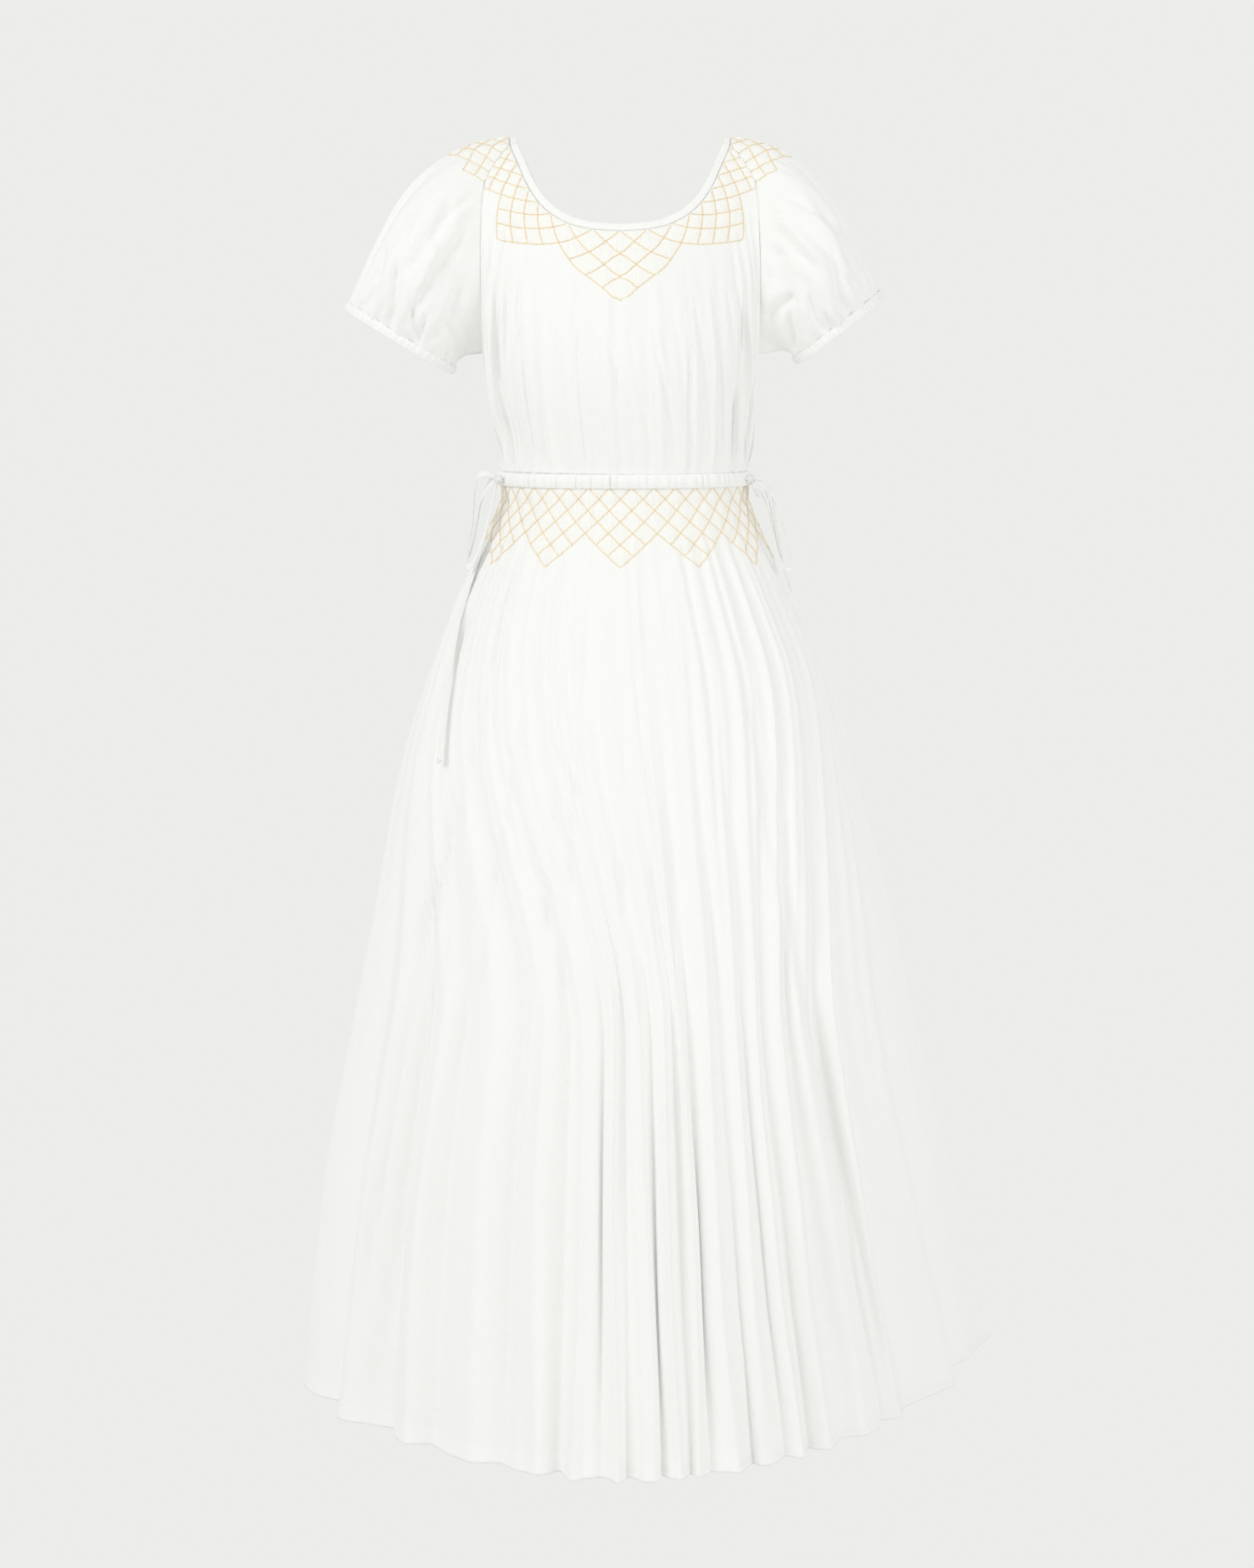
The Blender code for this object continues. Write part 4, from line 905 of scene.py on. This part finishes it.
# Neck binding, cuffs and waist casing. Strips of the same voile, folded double: bias tape
# round the neck, bands drawn up over elastic at the sleeves, and a gathered tube round
# the waist which holds the drawstring.
def band(name, grid, node):
    """A closed band. The grid's rows go round its section and its columns round the body."""
    rows, columns = grid.shape[:2]
    index = np.arange(rows * columns).reshape(rows, columns)
    low, right = np.roll(index, -1, axis=0), np.roll(index, -1, axis=1)
    both = np.roll(low, -1, axis=1)
    faces = np.stack([index, low, both, right], axis=-1).reshape(-1, 4).tolist()
    uv = np.stack([(index % columns) * 0.0015, (index // columns) * 0.0015], axis=-1)
    piece = surface(name, grid, faces, white_voile, uv)
    face_out(piece.data)
    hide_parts(node)
    return piece


BINDING_WIDTH = 0.0085
BINDING_WALL = 0.0024
over = slice(UNDERARM_ROW * FINE_ROWS + 1, (UNDERARM_ROW + NECK_COLUMNS) * FINE_ROWS)
seam, seam_way = [], []
for grid, part, closed in ((bodices["front"], slice(None), False),
                           (sleeve_grids["right"], over, True),
                           (bodices["back"], slice(None), False),
                           (sleeve_grids["left"], over, True)):
    seam.append(grid[0, part])
    seam_way.append(outward(grid, closed)[0, part])
seam, seam_way = np.concatenate(seam), np.concatenate(seam_way)
for _ in range(12):  # evened out round the neck
    seam_way = unit(np.roll(seam_way, 1, axis=0) + seam_way + np.roll(seam_way, -1, axis=0))
inwards = unit(np.cross(seam_way, unit(np.roll(seam, -3, axis=0) - np.roll(seam, 3, axis=0))))
turns = circle(12)
flat = squarer(np.cos(turns), 0.7)
thick = squarer(np.sin(turns), 0.8)
ripple = 1 + 0.05 * np.sin(np.arange(len(seam)) * 0.9)
band("neck_binding_tape",
     seam[None] + inwards[None] * (SEAM_GAP + BINDING_WIDTH * (0.5 - 0.5 * flat))[:, None, None]
     + seam_way[None] * (BINDING_WALL * (0.5 * thick[:, None] * ripple - 0.5))[..., None],
     "neck_binding")

CASING_BULGE = 0.0054
CASING_INSIDE = 0.0018
CASING_POINTS = 640
CASING_PLEATS = 84
number = np.arange(CASING_POINTS)
around_waist = 2 * pi * number / CASING_POINTS - pi / 2
middle_point, middle_way = skirt_section(np.full(CASING_POINTS, SKIRT_TOP), around_waist)
pleat_number = number / CASING_POINTS * CASING_PLEATS
pleat = abs(np.sin(pi * (pleat_number + 0.25 * np.sin(pleat_number * 1.9)))) ** 0.6
pucker = uneven(pleat_number // 1, 0.5, 1.0) * (1 - pleat)
turns = circle(16)
rise = squarer(np.sin(turns), 0.75)
depth = np.cos(turns)[:, None]
reach = np.where(depth > 0, 0.0006 + abs(depth) ** 0.7 * (CASING_BULGE - 0.0034 * pucker[None]),
                 depth * CASING_INSIDE)
tube = middle_point[None] + middle_way[None] * reach[..., None]
tube[..., 2] = (WAIST - SEAM_GAP - CASING_HEIGHT / 2
                + rise[:, None] * (CASING_HEIGHT / 2 + 0.0016) * (1 - 0.04 * pucker[None]))
band("waist_casing_tube", tube, "waist_casing")

CUFF_HEIGHT = 0.0095
CUFF_WALL = 0.0022
for hand in CUFFS:
    axis, middle = cuff_planes[hand]
    half_way = (np.array(CUFFS[hand]["outer"]) - np.array(CUFFS[hand]["inner"])) / 2
    half_way = np.array([half_way[0], 0, half_way[1]])
    deep = np.array([0, CUFFS[hand]["depth"] / 2, 0])
    number = np.arange(360) / 360
    ring = (-half_way * np.cos(2 * pi * number)[:, None]
            - deep * np.sin(2 * pi * number)[:, None])
    out_way = unit(ring)
    rib = abs(np.sin(pi * 52 * (number + 0.004 * np.sin(2 * pi * 9 * number)))) ** 0.7
    turns = circle(14)
    rise = squarer(np.sin(turns), 0.7)
    depth = np.cos(turns)[:, None]
    reach = np.where(depth > 0, depth * (0.0012 * rib + 0.0002 * np.cos(5 * rise)[:, None]),
                     depth * CUFF_WALL)
    grid = (middle + ring[None] + out_way[None] * (reach + 0.0011)[..., None]
            + axis * (CUFF_HEIGHT * (0.5 - 0.5 * rise) - 0.0016)[:, None, None])
    band("cuff_" + hand + "_band", grid, "cuff_" + hand)


# Ties. The drawstring is a flat strip of voile, 8 mm wide. It comes out of the casing at
# each side and is tied in a bow, whose loose ends hang down over the skirt.
TIE_WIDTH = 0.008
TIE_STEP = 0.0025
KNOT_RADIUS = 0.005
END_KNOT_RADIUS = 0.0028
ROUTES = {  # in millimetres
    "tie_loop_left": [
        (-138.5, -37, -371.5), (-143.8, -34, -376.5), (-150, -32, -387.5),
        (-154.5, -32, -399.5), (-160, -33, -422), (-164.5, -36, -444.5), (-167, -41, -457),
        (-165.5, -48, -461.5), (-160, -52.5, -458), (-152, -55, -440.5), (-144.5, -55, -418),
        (-139, -53.5, -394.5), (-136, -50.5, -382.5), (-135, -45, -372.5)],
    "tie_loop_back_left": [
        (-139, -33, -363.5), (-147, -24, -361.5), (-155, -15, -365.5), (-158.5, -10, -376.5),
        (-160, -9, -390.5), (-161.5, -9, -414), (-166, -8, -439), (-168, -3, -451),
        (-167, 4, -453.5), (-163, 8, -443), (-158, 9, -419.5), (-152.5, 6, -393.5),
        (-146.5, -2, -377.5), (-141.5, -12, -369.5), (-138.5, -24, -367.5)],
    "tie_tail_left": [
        (-134.5, -40, -375.5), (-137, -41, -387.5), (-142.5, -42, -410), (-149, -43.5, -438),
        (-157.5, -47.5, -466), (-165, -57, -490), (-173, -68, -517), (-179, -80, -548),
        (-183.5, -92, -579), (-188, -106, -614), (-192, -121, -649), (-194, -127, -664)],
    "tie_loop_right": [
        (147, -38, -370.5), (153, -37, -373.5), (162, -34, -381.5), (171.5, -32, -397),
        (179, -32, -422), (185, -34, -446), (187.5, -37.5, -459.5), (185, -43, -466.5),
        (179, -46.5, -464), (172, -48, -451), (166, -48, -430), (160.5, -48, -407.5),
        (154, -48, -389.5), (146.5, -47.5, -378.5)],
    "tie_loop_back_right": [
        (147, -33, -365.5), (155, -23, -366.5), (163, -15, -375.5), (167, -11, -390.5),
        (170.5, -10, -414), (175, -10, -439), (178, -6, -455), (177.5, 2, -457),
        (174, 7, -444.5), (169, 9, -418), (163.5, 7, -392.5), (157.5, 0, -377.5),
        (151, -11, -370.5), (146, -22, -369.5)],
    "tie_tail_right": [
        (143.5, -34, -374.5), (147.5, -26, -381.5), (155, -4, -387.5), (163, 17, -403.5),
        (172, 32, -436.5), (184, 46, -475), (197, 66, -520), (206, 86, -566), (214, 106, -615),
        (219, 120, -655)],
}


def curve_through(points, spacing):
    """Points at even spacing along a smooth curve through a route's own points."""
    points = np.array(points, float)
    before = np.concatenate([[2 * points[0] - points[1]], points[:-1]])
    after = np.concatenate([points[1:], [2 * points[-1] - points[-2]]])
    slope = (after - before) / 2
    fine = []
    for a, b, leave, arrive in zip(points, points[1:], slope, slope[1:]):
        fine += [curve(t, a, leave, b, arrive)
                 for t in np.linspace(0, 1, 12, endpoint=False)]
    fine = np.array(fine + [points[-1]])
    along = np.concatenate([[0], np.cumsum(np.linalg.norm(np.diff(fine, axis=0), axis=1))])
    steps = np.linspace(0, along[-1], int(round(along[-1] / spacing)) + 1)
    return np.column_stack([np.interp(steps, along, fine[:, axis]) for axis in range(3)])


def ball(name, radius, place, segments, rings):
    """A small ball of voile, for a knot."""
    bpy.ops.mesh.primitive_uv_sphere_add(segments=segments, ring_count=rings, radius=radius,
                                         location=place)
    made = bpy.context.object
    made.name = name
    bpy.ops.object.transform_apply(location=True, rotation=True, scale=True)
    made.data.materials.append(white_voile)
    made.data.uv_layers[0].name = "cloth"
    made.data.shade_smooth()
    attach(made, "root")
    return made


for hand in ("left", "right"):
    low, high = (np.array(corner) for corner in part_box("tie_knot_" + hand))
    knot_middle = (low + high) / 2
    for selected in bpy.context.selected_objects:
        selected.select_set(False)
    knot = ball("bow_knot_" + hand, KNOT_RADIUS, knot_middle, 24, 16)
    for v in knot.data.vertices:
        away = np.array(v.co) - knot_middle
        turn = np.arctan2(away[1], away[0])
        wrap = 0.0007 * sin(2.2 * away[2] / KNOT_RADIUS * pi + 2 * turn)
        squeeze = 1 + (wrap - 0.0003) / KNOT_RADIUS
        v.co = knot_middle + away * squeeze * np.array([1, 1, 0.92])
    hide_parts("tie_knot_" + hand)
    for node, route in ROUTES.items():
        if not node.endswith(hand):
            continue
        route = np.array(route) / 1000
        for end in (0, -1) if "loop" in node else (0,):
            route[end] = knot_middle + unit(route[end] - knot_middle) * (KNOT_RADIUS + SEAM_GAP)
        path = curve_through(route, TIE_STEP)
        ahead = unit(np.gradient(path, axis=0))
        away = path * [1, 1, 0]
        away = unit(away - ahead * (away * ahead).sum(axis=1)[:, None])
        wide = np.cross(ahead, away)
        apart = np.linalg.norm(path - knot_middle, axis=1) - KNOT_RADIUS
        width = TIE_WIDTH * (0.4 + 0.6 * ease(apart, 0, 0.02))
        # The strip is folded double and stitched, so its edges are round and it cups.
        turns = circle(12)
        cup = 0.0005 * np.cos(turns) ** 2
        curl = 0.0002 * np.sin(np.arange(len(path)) * 0.7)
        grid = (path[None] + wide[None] * (np.cos(turns)[:, None] * width[None] / 2)[..., None]
                + away[None] * (0.0006 * np.sin(turns)[:, None] + cup[:, None]
                                + curl[None])[..., None])
        count = len(path)
        index = np.arange(len(turns) * count).reshape(len(turns), count)
        beside = np.roll(index, -1, axis=0)
        faces = np.stack([index[:, :-1], beside[:, :-1], beside[:, 1:], index[:, 1:]], axis=-1)
        faces = faces.reshape(-1, 4).tolist()
        faces += [index[:, 0].tolist(), index[::-1, -1].tolist()]
        uv = np.stack([(index // count) * 0.0014, (index % count) * TIE_STEP], axis=-1)
        strip = surface(node + "_strip", grid, faces, white_voile, uv)
        face_out(strip.data)
        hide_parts(node)
        tip = []
        if "tail" in node:
            tip = [ball(node + "_end_knot", END_KNOT_RADIUS, path[-1], 16, 10)]
